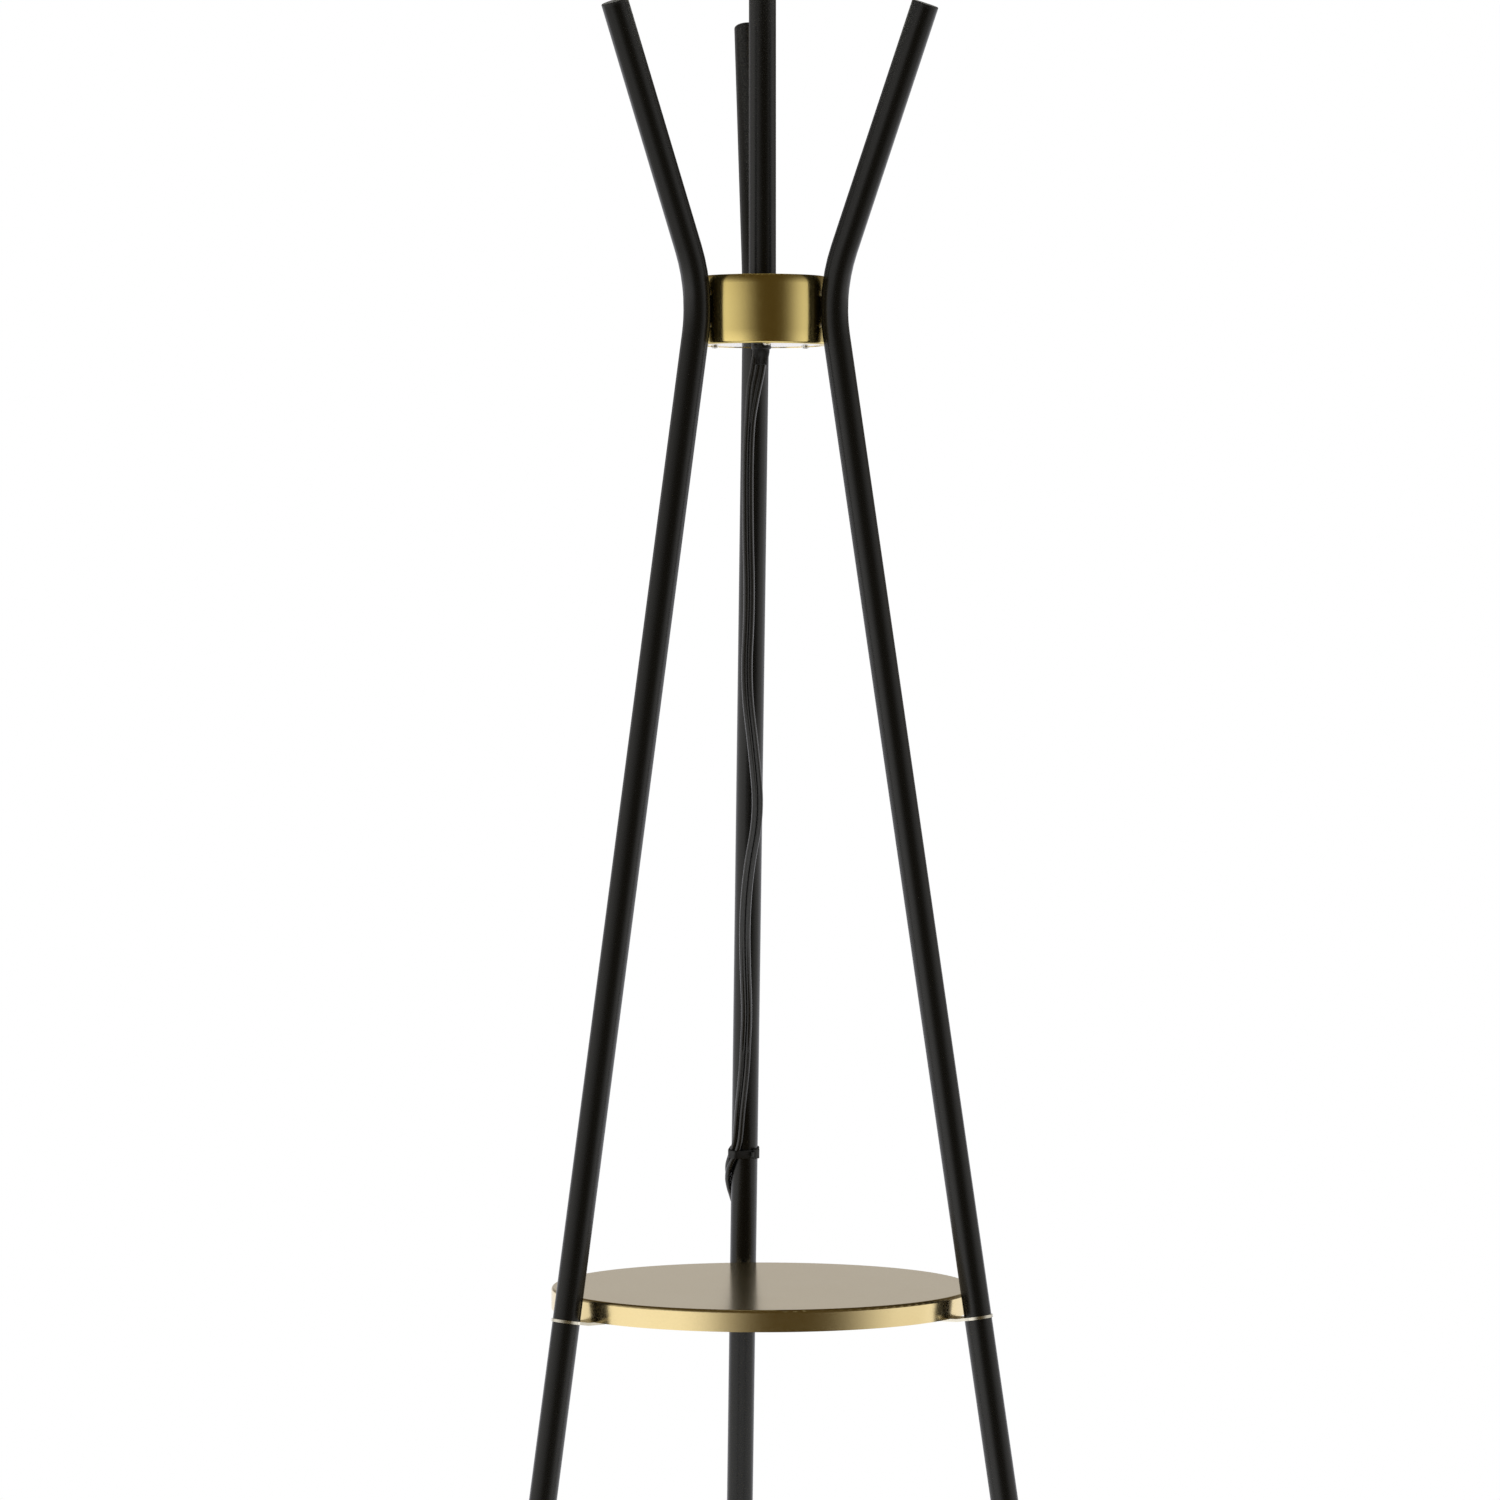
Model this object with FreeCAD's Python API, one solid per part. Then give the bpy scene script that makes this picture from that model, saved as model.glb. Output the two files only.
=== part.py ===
import FreeCAD, Part
import math
import os
from FreeCAD import Vector

# Shelf floor lamp, in millimetres. The origin is on the floor, on the axis of the collar, stem and
# shelf. +Z is up, the rear leg stands in +Y, and -Y is the front.

# Heights of the main pieces above the floor
shelf_top_height = 480.0
collar_mid_height = 1163.0
arm_end_height = 1372.0

# Pan-head screws, as shares of the shank's radius
pan_head_ratio = 1.85
pan_head_height_ratio = 1.1
screw_tip_ratio = 0.6
screw_recess_length_ratio = 2.4
screw_recess_width_ratio = 0.36

# Bent tube legs
leg_azimuths = {"rear": 90.0, "left": 210.0, "right": 330.0}
leg_diameter = 19.0
leg_wall = 1.2
arm_flare = 20.1
leg_bend_radius = 120.0
leg_gap = 0.3
arm_cap_thickness = 2.0
arm_cap_edge = 0.8
arm_cap_plug_length = 8.0
plug_clearance = 0.1

# Brass collar
collar_diameter = 91.0
collar_height = 48.0
collar_wall = 1.5
collar_edge_radius = 3.0
collar_lip_gap = 0.3
cover_thickness = 1.5
cover_boss_width = 8.0
cover_boss_depth = 12.0
cover_boss_height = 9.0
cover_screw_radius = 1.5
cover_screw_circle = 37.0
cover_screw_length = 9.0
cover_screw_clearance = 0.2

# Screws and nut bars that hold the legs on the collar
leg_screw_radius = 2.5
leg_screw_spacing = 22.0
leg_screw_clearance = 0.2
leg_screw_length = 12.5
nut_bar_width = 8.0
nut_bar_thickness = 4.5
nut_bar_length = 34.0
nut_bar_seat = 2.4

# Stem
stem_diameter = 19.0
stem_wall = 1.2
stem_insert_length = 16.0
nipple_radius = 4.85
nipple_bore = 3.8
nipple_length = 32.0
nipple_hole_clearance = 0.2
lock_nut_flats = 17.0
lock_nut_height = 4.0
thread_clearance = 0.05
seat_gap = 0.2

# Shelf pan with turned-down rim, its tabs and their nuts
shelf_diameter = 296.0
shelf_rim_height = 15.0
shelf_sheet = 1.2
shelf_edge_radius = 2.2
weld_stud_radius = 1.95
weld_stud_length = 8.0
weld_stud_circles = (104.0, 119.0)
tab_thickness = 2.0
tab_width = 18.0
tab_end_radius = 10.5
tab_inner_end = 94.0
tab_step_start = 127.0
tab_step_end = 139.0
tab_bend_outside_rim = 4.0
tab_end_reach = 12.38
tab_hole_clearance = 0.3
tab_gap = 0.1
tab_nut_flats = 7.0
tab_nut_height = 3.2

# Joints between upper and lower legs, and the feet
joint_stud_radius = 4.0
joint_stud_length = 26.0
leg_insert_length = 12.0
foot_outer_radius = 11.4
foot_sleeve_height = 20.0
foot_pad_thickness = 5.0
foot_edge_radius = 1.0

# Lamp holder
saddle_thickness = 1.5
saddle_width = 14.0
saddle_post_offset = 32.0
saddle_post_radius = 2.0
saddle_post_height = 19.0
saddle_end_margin = 1.0
saddle_corner_radius = 4.9
saddle_shoulder_radius = 3.6
saddle_shoulder_height = 13.0
holder_radius = 17.5
holder_hub_radius = 8.0
holder_sheet = 0.8
holder_hub_chamfer = 1.0
holder_brim_height = 4.0
holder_brim_inset = 2.8
holder_brim_bulge = 1.2
holder_shoulder_height = 7.0
holder_cap_floor = 2.0
holder_cap_height = 20.0
holder_mouth_height = 78.0
holder_overlap = 5.0
holder_bead_height = 2.6
holder_bead_gap = 0.4
holder_bead_root = 0.1
holder_bead_bulge = 0.5
liner_setback = 1.0
liner_thickness = 0.8
holder_fit = 0.2
holder_body_radius = 14.5
holder_body_bottom = 21.0
holder_body_top = 52.0
screw_shell_radius = 13.9
screw_shell_wall = 0.5
screw_shell_setback = 3.0
contact_radius = 3.0
contact_height = 1.6
terminal_pocket = 5.0
terminal_pocket_width = 7.0
terminal_pocket_height = 8.0
terminal_screw_radius = 1.3
terminal_screw_length = 4.0
terminal_height = 30.0

# Rotary switch
switch_height = 36.0
switch_shaft_radius = 2.0
switch_clearance = 0.06
switch_shaft_inner = 5.0
switch_shaft_outer = 33.0
knob_radius = 6.5
knob_length = 15.0
knob_cover = 1.5
knob_top_thickness = 1.4
knob_edge = 3.0
knob_edge_bulge = 0.6
knob_neck_chamfer = 1.0
knob_press_gap = 0.02
knob_neck_radius = 4.0
knob_neck_length = 3.0
knob_flutes = 16
knob_flute_radius = 0.7

# Bulb
bulb_cap_radius = 13.0
bulb_cap_length = 21.0
bulb_lift = 0.3
bulb_radius = 30.0
bulb_neck_radius = 13.4
bulb_neck_length = 6.0
bulb_shoulder_lean = 28.0
bulb_cap_wall = 0.6
bulb_length = 108.0
bulb_glass = 1.0
bulb_tip_radius = 4.5
bulb_tip_height = 2.5
bulb_tip_flat = 2.2
bulb_tip_bulge = 0.4

# Harp, sleeves, swivel stud and finial
harp_wire_radius = 2.0
harp_width = 104.0
harp_straight = 30.0
harp_flare_height = 62.0
harp_shoulder_height = 122.0
harp_crown_width = 52.0
harp_top_height = 194.0
harp_boss_radius = 8.0
harp_boss_height = 8.0
sleeve_wall = 1.4
sleeve_clearance = 0.08
sleeve_length = 12.0
swivel_radius = 2.9
swivel_clearance = 0.06
swivel_play = 0.2
swivel_shoulder_radius = 9.5
swivel_shoulder_height = 2.0
swivel_thread_radius = 3.1
swivel_thread_length = 13.0
swivel_rivet_radius = 4.4
swivel_rivet_height = 1.8
finial_radius = 8.0
finial_height = 24.0
finial_waist_radius = 5.0
finial_collar_radius = 7.0
finial_collar_height = 4.0

# Shade, above the arms' ends and round the lamp holder
shade_arm_gap = 33.0
stem_inside_shade = 20.0
shade_diameter = 380.0
shade_height = 240.0
shade_wall = 1.0
ring_wire_radius = 1.6
ring_gap = 0.2
ring_inset = 0.5
spider_arm_azimuths = (30.0, 150.0, 270.0)
spider_washer_radius = 12.0
spider_washer_thickness = 1.6
spider_arm_radius = 1.6
spider_arm_overlap = 2.0
spider_hole_clearance = 0.3

# Cord, its strain relief, ties and plug
cord_diameter = 8.0
wire_radius = 1.7
wire_pitch = 3.8
relief_bore_clearance = 0.15
relief_flange_radius = 7.0
relief_flange_height = 2.0
relief_taper_length = 12.0
relief_taper_end_radius = 5.0
relief_barrel_radius = 5.5
relief_barrel_length = 10.0
relief_lip_radius = 6.2
relief_lip_height = 1.4
relief_lip_chamfer = 1.0
relief_shoulder = 0.8
tie_heights = (562.0, 108.0)
tie_cord_reaches = (16.8, 15.3)
tie_width = 5.0
tie_band = 1.2
tie_slack = 0.3
tie_cord_slack = 2.2
tie_head = 5.0
coil_centre = (64.0, 372.0)
coil_outer_radius = 54.0
coil_pitch = 8.8
coil_turns = 4.5
coil_layer_step = 8.7
coil_tie_width = 6.0
coil_tie_slack = 0.3
coil_tie_band = 0.8
tie_floor_gap = 0.1
plug_length = 34.0
plug_width = 25.0
plug_height = 18.0
plug_neck_length = 16.0
plug_neck_radius = 5.0
plug_neck_flare = 2.5
plug_corner_radius = 5.0
plug_edge_radius = 1.5
plug_floor_gap = 0.1
plug_offset = (4.0, -88.0)
tail_lead = 22.0
tail_drop_reach = 24.0
tail_drop = (1.0, 0.0, -7.0)
tail_end_run = 18.0
blade_hole_radius = 1.6
blade_hole_offset = 4.0
blade_length = 16.0
blade_width = 6.4
blade_thickness = 1.5
blade_spacing = 12.7

# The cord's free run, from the strain relief to the coil, as points chosen one by one
cord_points = [
    (0.0, 0.0, 1149.0),
    (0.0, 0.0, 1111.0),
    (-9.0, 4.0, 1068.0),
    (-9.0, 10.5, 1015.0),
    (-7.0, 22.0, 958.0),
    (-9.0, 35.0, 903.0),
    (-1.5, 50.0, 852.0),
    (3.2, 63.0, 810.0),
    (-3.5, 77.0, 768.0),
    (-5.2, 89.0, 729.0),
    (-3.4, 100.0, 694.0),
    (-1.0, 110.0, 664.0),
    (-2.5, 118.4, 638.0),
    (-7.4, 124.5, 616.0),
    (-12.9, 131.2, 601.0),
    (-16.4, 139.4, 589.0),
    (-17.1, 148.2, 578.0),
    (-14.9, 156.9, 566.0),
    (-10.3, 164.3, 552.0),
    (-4.8, 169.4, 533.0),
    (-0.5, 173.6, 506.0),
    (2.0, 180.2, 464.0),
    (-1.8, 190.4, 402.0),
    (1.8, 201.4, 331.0),
    (-1.6, 214.0, 255.0),
    (1.4, 225.2, 180.0),
    (0.4, 236.0, 110.0),
    (1.0, 246.6, 50.0),
    (3.0, 270.0, 11.5),
    (5.4, 299.0, 4.9),
]
cord_last_run = 36.0

# Sizes that follow
leg_radius = leg_diameter / 2
collar_radius = collar_diameter / 2
stem_radius = stem_diameter / 2
shelf_radius = shelf_diameter / 2
shade_radius = shade_diameter / 2
cord_radius = cord_diameter / 2
flare = math.radians(arm_flare)
collar_bottom = collar_mid_height - collar_height / 2
collar_top = collar_mid_height + collar_height / 2
leg_waist_radius = collar_radius + leg_gap + leg_radius
bend_centre = Vector(leg_waist_radius + leg_bend_radius, 0, collar_mid_height)
rim_bottom = shelf_top_height - shelf_rim_height
tab_mid_height = rim_bottom - tab_gap - tab_thickness / 2
tab_bend = Vector(shelf_radius + tab_bend_outside_rim, 0, tab_mid_height)

# The leg's axis touches the bend's circle and passes the tab's bend at the tab's end reach
fall = tab_bend - bend_centre
splay = math.atan2(fall.x, -fall.z) + math.asin((leg_bend_radius + tab_end_reach) / fall.Length)
leg_tangent = bend_centre + Vector(-math.cos(splay), 0, -math.sin(splay)) * leg_bend_radius
arm_tangent = bend_centre + Vector(-math.cos(flare), 0, math.sin(flare)) * leg_bend_radius
leg_down = Vector(math.sin(splay), 0, -math.cos(splay))
arm_up = Vector(math.sin(flare), 0, math.cos(flare))
joint = tab_bend + Vector(math.cos(splay), 0, math.sin(splay)) * tab_end_reach
foot_point = joint + leg_down * (joint.z / math.cos(splay))
arm_end = arm_tangent + arm_up * ((arm_end_height - arm_tangent.z) / math.cos(flare))
shade_bottom_height = arm_end_height + shade_arm_gap
stem_top_height = shade_bottom_height + stem_inside_shade
saddle_bottom = stem_top_height + seat_gap
holder_bottom = saddle_bottom + saddle_thickness
harp_top = holder_bottom + harp_top_height
shade_top_height = shade_bottom_height + shade_height
coil_low = coil_tie_band + tie_floor_gap + cord_radius
coil_high = coil_low + coil_layer_step
z_axis = Vector(0, 0, 1)
x_axis = Vector(1, 0, 0)
front = Vector(0, -1, 0)

os.makedirs("parts", exist_ok=True)


def save(node, *solids):
    """Write one node, checked as closed solids, to its STEP file."""
    shape = solids[0] if len(solids) == 1 else Part.makeCompound(list(solids))
    assert shape.isValid() and shape.Solids, node
    shape.exportStep("parts/" + node + ".step")
    print(f"{node}: {len(shape.Solids)} solid(s), {shape.Volume / 1000:.2f} cm3")


def turn(shape, azimuth):
    """A copy of a shape turned about the lamp's axis."""
    copy = shape.copy()
    copy.rotate(Vector(0, 0, 0), z_axis, azimuth)
    return copy


def moved(shape, offset):
    copy = shape.copy()
    copy.translate(offset)
    return copy


def rod(radius, length, base, direction=z_axis):
    return Part.makeCylinder(radius, length, base, direction)


def pipe(outer, inner, length, base, direction=z_axis):
    return rod(outer, length, base, direction).cut(rod(inner, length, base, direction))


def block(size, centre):
    """A box of a given size about its centre."""
    return Part.makeBox(size.x, size.y, size.z, centre - size * 0.5)


def quarter(radius):
    """How far a quarter circle of this radius bulges from its chord."""
    return radius * (1 - math.sqrt(0.5))


def sagitta(radius, chord):
    """How far an arc of this radius bulges from its chord."""
    return radius - math.sqrt(radius**2 - chord**2 / 4)


def turned(points, axis_base=Vector(0, 0, 0), direction=z_axis):
    """A solid of revolution from (radius, height) points; a point (r, h, b) bulges to the next by b."""
    edges = []
    count = len(points)
    for index, point in enumerate(points):
        start = Vector(point[0], 0, point[1])
        end = Vector(points[(index + 1) % count][0], 0, points[(index + 1) % count][1])
        if len(point) == 3:
            chord = end - start
            normal = Vector(chord.z, 0, -chord.x).normalize()
            middle = (start + end) * 0.5 + normal * point[2]
            edges.append(Part.Arc(start, middle, end).toShape())
        else:
            edges.append(Part.LineSegment(start, end).toShape())
    face = Part.Face(Part.Wire(edges))
    solid = face.revolve(Vector(0, 0, 0), z_axis, 360)
    solid = Part.Solid(solid) if solid.ShapeType == "Shell" else solid
    if solid.Volume < 0:
        solid.reverse()
    turn_to = FreeCAD.Rotation(z_axis, direction)
    solid.Placement = FreeCAD.Placement(axis_base, turn_to)
    return solid


def hexagon_nut(flats, bore, height, base, direction=z_axis):
    corner = flats / math.sqrt(3)
    points = [
        Vector(corner * math.cos(math.radians(60 * k)), corner * math.sin(math.radians(60 * k)), 0)
        for k in range(7)
    ]
    nut = Part.Face(Part.makePolygon(points)).extrude(Vector(0, 0, height))
    nut = nut.cut(rod(bore, height, Vector(0, 0, 0)))
    nut.Placement = FreeCAD.Placement(base, FreeCAD.Rotation(z_axis, direction))
    return nut


def pan_screw(radius, length, base, direction):
    """A pan-head screw: base is under the head, direction the way the shank goes."""
    head_radius = radius * pan_head_ratio
    head_height = radius * pan_head_height_ratio
    crown = head_height / 2
    profile = [
        (0, -head_height),
        (head_radius - crown, -head_height, -quarter(crown)),
        (head_radius, -head_height + crown),
        (head_radius, 0),
        (radius, 0),
        (radius, length - radius * (1 - screw_tip_ratio)),
        (radius * screw_tip_ratio, length),
        (0, length),
    ]
    screw = turned(profile)
    slot = block(
        Vector(radius * screw_recess_length_ratio, radius * screw_recess_width_ratio, head_height),
        Vector(0, 0, -head_height),
    )
    screw = screw.cut(slot).cut(turn(slot, 90))
    screw.Placement = FreeCAD.Placement(base, FreeCAD.Rotation(z_axis, direction))
    return screw


def rounded_path(points, names=None):
    """Straight runs joined by tangent arcs, each as large as its two runs allow."""
    points = [Vector(*p) for p in points]
    edges = []
    start = points[0]
    radii = []
    for before, point, after in zip(points, points[1:], points[2:]):
        into = (point - before).normalize()
        out = (after - point).normalize()
        half = into.getAngle(out) / 2
        cut = 0.45 * min((point - before).Length, (after - point).Length)
        radii.append(cut / math.tan(half))
        first = point - into * cut
        last = point + out * cut
        inward = (out - into).normalize()
        middle = point + inward * (cut / math.tan(half)) * (1 / math.cos(half) - 1)
        edges.append(Part.LineSegment(start, first).toShape())
        edges.append(Part.Arc(first, middle, last).toShape())
        start = last
    edges.append(Part.LineSegment(start, points[-1]).toShape())
    if names:
        print(f"{names}: bend radii from {min(radii):.0f} to {max(radii):.0f} mm")
    return edges


def swept(edges, radius):
    """A round wire or tube along a path of lines and arcs."""
    path = Part.Wire(edges)
    start = path.OrderedEdges[0]
    at = start.valueAt(start.FirstParameter)
    along = start.tangentAt(start.FirstParameter)
    section = Part.Wire(Part.makeCircle(radius, at, along))
    return path.makePipeShell([section], True, False)


def leg_path(low, high):
    """The leg's axis in the plane of azimuth 0: leg, bend and arm, between two points."""
    bend_middle = bend_centre + Vector(
        -math.cos((flare - splay) / 2), 0, math.sin((flare - splay) / 2)
    ) * leg_bend_radius
    return [
        Part.LineSegment(low, leg_tangent).toShape(),
        Part.Arc(leg_tangent, bend_middle, arm_tangent).toShape(),
        Part.LineSegment(arm_tangent, high).toShape(),
    ]


leg_screw_heights = (-leg_screw_spacing / 2, leg_screw_spacing / 2)


def leg_screw_base(height):
    """Under the head of a leg screw, where its rim meets the collar's round wall."""
    wall = collar_radius - collar_wall
    depth = math.sqrt(wall**2 - (leg_screw_radius * pan_head_ratio) ** 2)
    return Vector(depth - seat_gap, 0, collar_mid_height + height)


def upper_leg():
    low = joint - leg_down * (tab_thickness / 2)
    high = arm_end - arm_up * arm_cap_thickness
    tube = swept(leg_path(low, high), leg_radius).cut(swept(leg_path(low, high), leg_radius - leg_wall))
    for height in leg_screw_heights:
        hole = rod(
            leg_screw_radius + leg_screw_clearance,
            leg_radius + collar_wall,
            leg_screw_base(height),
            x_axis,
        )
        tube = tube.cut(hole)
    return tube


def arm_cap():
    plug = leg_radius - leg_wall - plug_clearance
    profile = [
        (0, -arm_cap_plug_length),
        (plug, -arm_cap_plug_length),
        (plug, 0),
        (leg_radius, 0),
        (leg_radius, arm_cap_thickness - arm_cap_edge, quarter(arm_cap_edge)),
        (leg_radius - arm_cap_edge, arm_cap_thickness),
        (0, arm_cap_thickness),
    ]
    return turned(profile, arm_end - arm_up * arm_cap_thickness, arm_up)


def lower_leg():
    start = joint + leg_down * (tab_thickness / 2)
    length = (foot_point - start).Length - foot_pad_thickness
    return pipe(leg_radius, leg_radius - leg_wall, length, start, leg_down)


def leg_insert(side):
    """The threaded plug in a leg's end; side is 1 below the tab and -1 above it."""
    start = joint + leg_down * (side * (tab_thickness / 2 + seat_gap))
    return pipe(
        leg_radius - leg_wall - plug_clearance,
        joint_stud_radius + thread_clearance,
        leg_insert_length,
        start,
        leg_down * side,
    )


def joint_stud():
    return rod(joint_stud_radius, joint_stud_length, joint - leg_down * (joint_stud_length / 2), leg_down)


def foot_tip():
    """A rubber tip over the tube's end, flat on the floor."""
    reach = foot_sleeve_height + foot_pad_thickness
    sleeve = rod(foot_outer_radius, 2 * reach, foot_point - leg_down * reach, leg_down)
    collar_edge = [e for e in sleeve.Edges if e.Curve.TypeId == "Part::GeomCircle"]
    top_edge = max(collar_edge, key=lambda e: e.CenterOfMass.z)
    sleeve = sleeve.makeFillet(foot_edge_radius, [top_edge])
    socket_start = foot_point - leg_down * foot_pad_thickness
    socket = rod(leg_radius + plug_clearance, 2 * reach, socket_start, leg_down * -1)
    below = 8 * foot_outer_radius
    floor = block(Vector(below, below, below), foot_point - z_axis * (below / 2))
    return sleeve.cut(socket).cut(floor)


def nut_bar():
    """The tapped bar inside a leg that its screws pull against the tube."""
    seat = leg_waist_radius - (leg_radius - leg_wall) + nut_bar_seat
    middle = Vector(seat + nut_bar_thickness / 2, 0, collar_mid_height)
    bar = block(Vector(nut_bar_thickness, nut_bar_width, nut_bar_length), middle)
    bore = leg_screw_radius + thread_clearance
    for height in leg_screw_heights:
        bar = bar.cut(rod(bore, leg_diameter, leg_screw_base(height), x_axis))
    return bar


def leg_screws():
    return [
        pan_screw(leg_screw_radius, leg_screw_length, leg_screw_base(h), x_axis)
        for h in leg_screw_heights
    ]


def cover_screw_base():
    return Vector(cover_screw_circle, 0, collar_bottom)


def collar_cup():
    """A drum with rounded edges, a holed top and a wide mouth below, and bosses for the cover."""
    r, e, w = collar_radius, collar_edge_radius, collar_wall
    hole = nipple_radius + nipple_hole_clearance
    profile = [
        (r - e, collar_bottom, quarter(e)),
        (r, collar_bottom + e),
        (r, collar_top - e, quarter(e)),
        (r - e, collar_top),
        (hole, collar_top),
        (hole, collar_top - w),
        (r - e, collar_top - w, -quarter(e - w)),
        (r - w, collar_top - e),
        (r - w, collar_bottom + e, -quarter(e - w)),
        (r - e, collar_bottom + w),
    ]
    cup = turned(profile)
    boss_reach = r - w - (cover_screw_circle - cover_boss_depth / 2)
    boss = block(
        Vector(boss_reach, cover_boss_width, cover_boss_height),
        Vector(
            r - w - boss_reach / 2,
            0,
            collar_bottom + cover_thickness + collar_lip_gap + cover_boss_height / 2,
        ),
    )
    inside = rod(r - w / 2, collar_height, Vector(0, 0, collar_bottom + w / 2))
    boss = boss.common(inside)
    boss = boss.cut(
        rod(cover_screw_radius + thread_clearance, collar_height, cover_screw_base())
    )
    for azimuth in leg_azimuths.values():
        cup = cup.fuse(turn(boss, azimuth + 60))
        for height in leg_screw_heights:
            hole = rod(
                leg_screw_radius + leg_screw_clearance,
                3 * w,
                leg_screw_base(height) - x_axis * w,
                x_axis,
            )
            cup = cup.cut(turn(hole, azimuth))
    return cup


def collar_cover():
    radius = collar_radius - collar_edge_radius - collar_lip_gap
    disc = rod(radius, cover_thickness, Vector(0, 0, collar_bottom))
    middle = Vector(0, 0, collar_bottom)
    disc = disc.cut(rod(relief_barrel_radius + thread_clearance, cover_thickness, middle))
    for azimuth in leg_azimuths.values():
        hole = rod(cover_screw_radius + cover_screw_clearance, cover_thickness, cover_screw_base())
        disc = disc.cut(turn(hole, azimuth + 60))
    return disc


def nipple(seat_height):
    """A hollow threaded tube, half above and half below the plate that it passes."""
    return pipe(nipple_radius, nipple_bore, nipple_length, Vector(0, 0, seat_height - nipple_length / 2))


def stem_tube():
    base = Vector(0, 0, collar_top + seat_gap / 2)
    return pipe(stem_radius, stem_radius - stem_wall, stem_top_height - base.z, base)


def stem_insert(base_height):
    return pipe(
        stem_radius - stem_wall - plug_clearance,
        nipple_radius + thread_clearance,
        stem_insert_length,
        Vector(0, 0, base_height),
    )


def shelf_pan():
    r, e, s = shelf_radius, shelf_edge_radius, shelf_sheet
    top = shelf_top_height
    profile = [
        (0, top),
        (0, top - s),
        (r - e, top - s, -quarter(e - s)),
        (r - s, top - e),
        (r - s, rim_bottom),
        (r, rim_bottom),
        (r, top - e, quarter(e)),
        (r - e, top),
    ]
    pan = turned(profile)
    for azimuth in leg_azimuths.values():
        for circle in weld_stud_circles:
            stud = rod(weld_stud_radius, weld_stud_length, Vector(circle, 0, top - s - weld_stud_length))
            pan = pan.fuse(turn(stud, azimuth))
    return pan


def shelf_tab():
    """A plate under the pan that steps down below the rim and ends square to the leg."""
    half = tab_thickness / 2
    under_pan = shelf_top_height - shelf_sheet - tab_gap - half
    spine = [
        Vector(tab_inner_end, 0, under_pan),
        Vector(tab_step_start, 0, under_pan),
        Vector(tab_step_end, 0, tab_mid_height),
        tab_bend,
        joint,
    ]
    sides = []
    for sign in (1, -1):
        side = []
        for k, point in enumerate(spine):
            into = (point - spine[k - 1]).normalize() if k else x_axis
            out = (spine[k + 1] - point).normalize() if k < len(spine) - 1 else into
            normal = (Vector(-into.z, 0, into.x) + Vector(-out.z, 0, out.x)).normalize()
            reach = half / normal.dot(Vector(-out.z, 0, out.x))
            side.append(point + normal * (reach * sign))
        sides.append(side)
    outline = sides[0] + sides[1][::-1]
    profile = Part.Face(Part.makePolygon(outline + outline[:1]))
    strip = moved(profile.extrude(Vector(0, tab_width, 0)), Vector(0, -tab_width / 2, 0))
    eye = rod(tab_end_radius, tab_thickness, joint - leg_down * half, leg_down)
    strip = strip.fuse(eye).removeSplitter()
    stud_hole = joint_stud_radius + tab_hole_clearance
    strip = strip.cut(rod(stud_hole, 4 * tab_thickness, joint - leg_down * (2 * tab_thickness), leg_down))
    for circle in weld_stud_circles:
        bore = weld_stud_radius + tab_hole_clearance
        strip = strip.cut(rod(bore, 4 * tab_thickness, Vector(circle, 0, under_pan - 2 * tab_thickness)))
    return strip


def tab_nuts():
    height = shelf_top_height - shelf_sheet - tab_gap - tab_thickness - tab_nut_height
    return [
        hexagon_nut(tab_nut_flats, weld_stud_radius + thread_clearance, tab_nut_height, Vector(c, 0, height))
        for c in weld_stud_circles
    ]


def harp_saddle():
    """A strap under the lamp holder with an upright post for each end of the harp."""
    length = 2 * (saddle_post_offset + saddle_shoulder_radius + saddle_end_margin)
    strap = block(
        Vector(length, saddle_width, saddle_thickness),
        Vector(0, 0, saddle_bottom + saddle_thickness / 2),
    )
    strap = strap.makeFillet(
        saddle_corner_radius,
        [e for e in strap.Edges if abs(e.tangentAt(e.FirstParameter).z) > 0.9],
    )
    for side in (-1, 1):
        at = Vector(side * saddle_post_offset, 0, holder_bottom)
        strap = strap.fuse(rod(saddle_shoulder_radius, saddle_shoulder_height, at))
        strap = strap.fuse(rod(saddle_post_radius, saddle_post_height, at))
    hole = rod(nipple_radius + nipple_hole_clearance, saddle_thickness, Vector(0, 0, saddle_bottom))
    return strap.cut(hole).removeSplitter()


def holder_cap():
    """The holder's bell: a flat hub, a round brim, a shoulder and a skirt."""
    r, t = holder_radius, holder_sheet
    z = holder_bottom
    hole = nipple_radius + nipple_hole_clearance
    hub = holder_hub_radius
    brim = z + holder_brim_height
    floor = z + holder_cap_floor + t
    rim = z + holder_cap_height
    profile = [
        (hole, z),
        (hub, z),
        (hub + holder_hub_chamfer, z + holder_hub_chamfer),
        (r - holder_brim_inset, brim, holder_brim_bulge),
        (r, brim + holder_shoulder_height),
        (r, rim),
        (r - t, rim),
        (r - t, brim + holder_shoulder_height, -holder_brim_bulge + t / 4),
        (r - holder_brim_inset - t, brim + 2 * t),
        (hub, floor),
        (hole, floor),
    ]
    return turned(profile)


def switch_bore():
    """The clearance hole of the switch shaft through shell, liner and body."""
    base = Vector(0, -switch_shaft_inner, holder_bottom + switch_height)
    return rod(switch_shaft_radius + switch_clearance, holder_radius, base, front)


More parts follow.
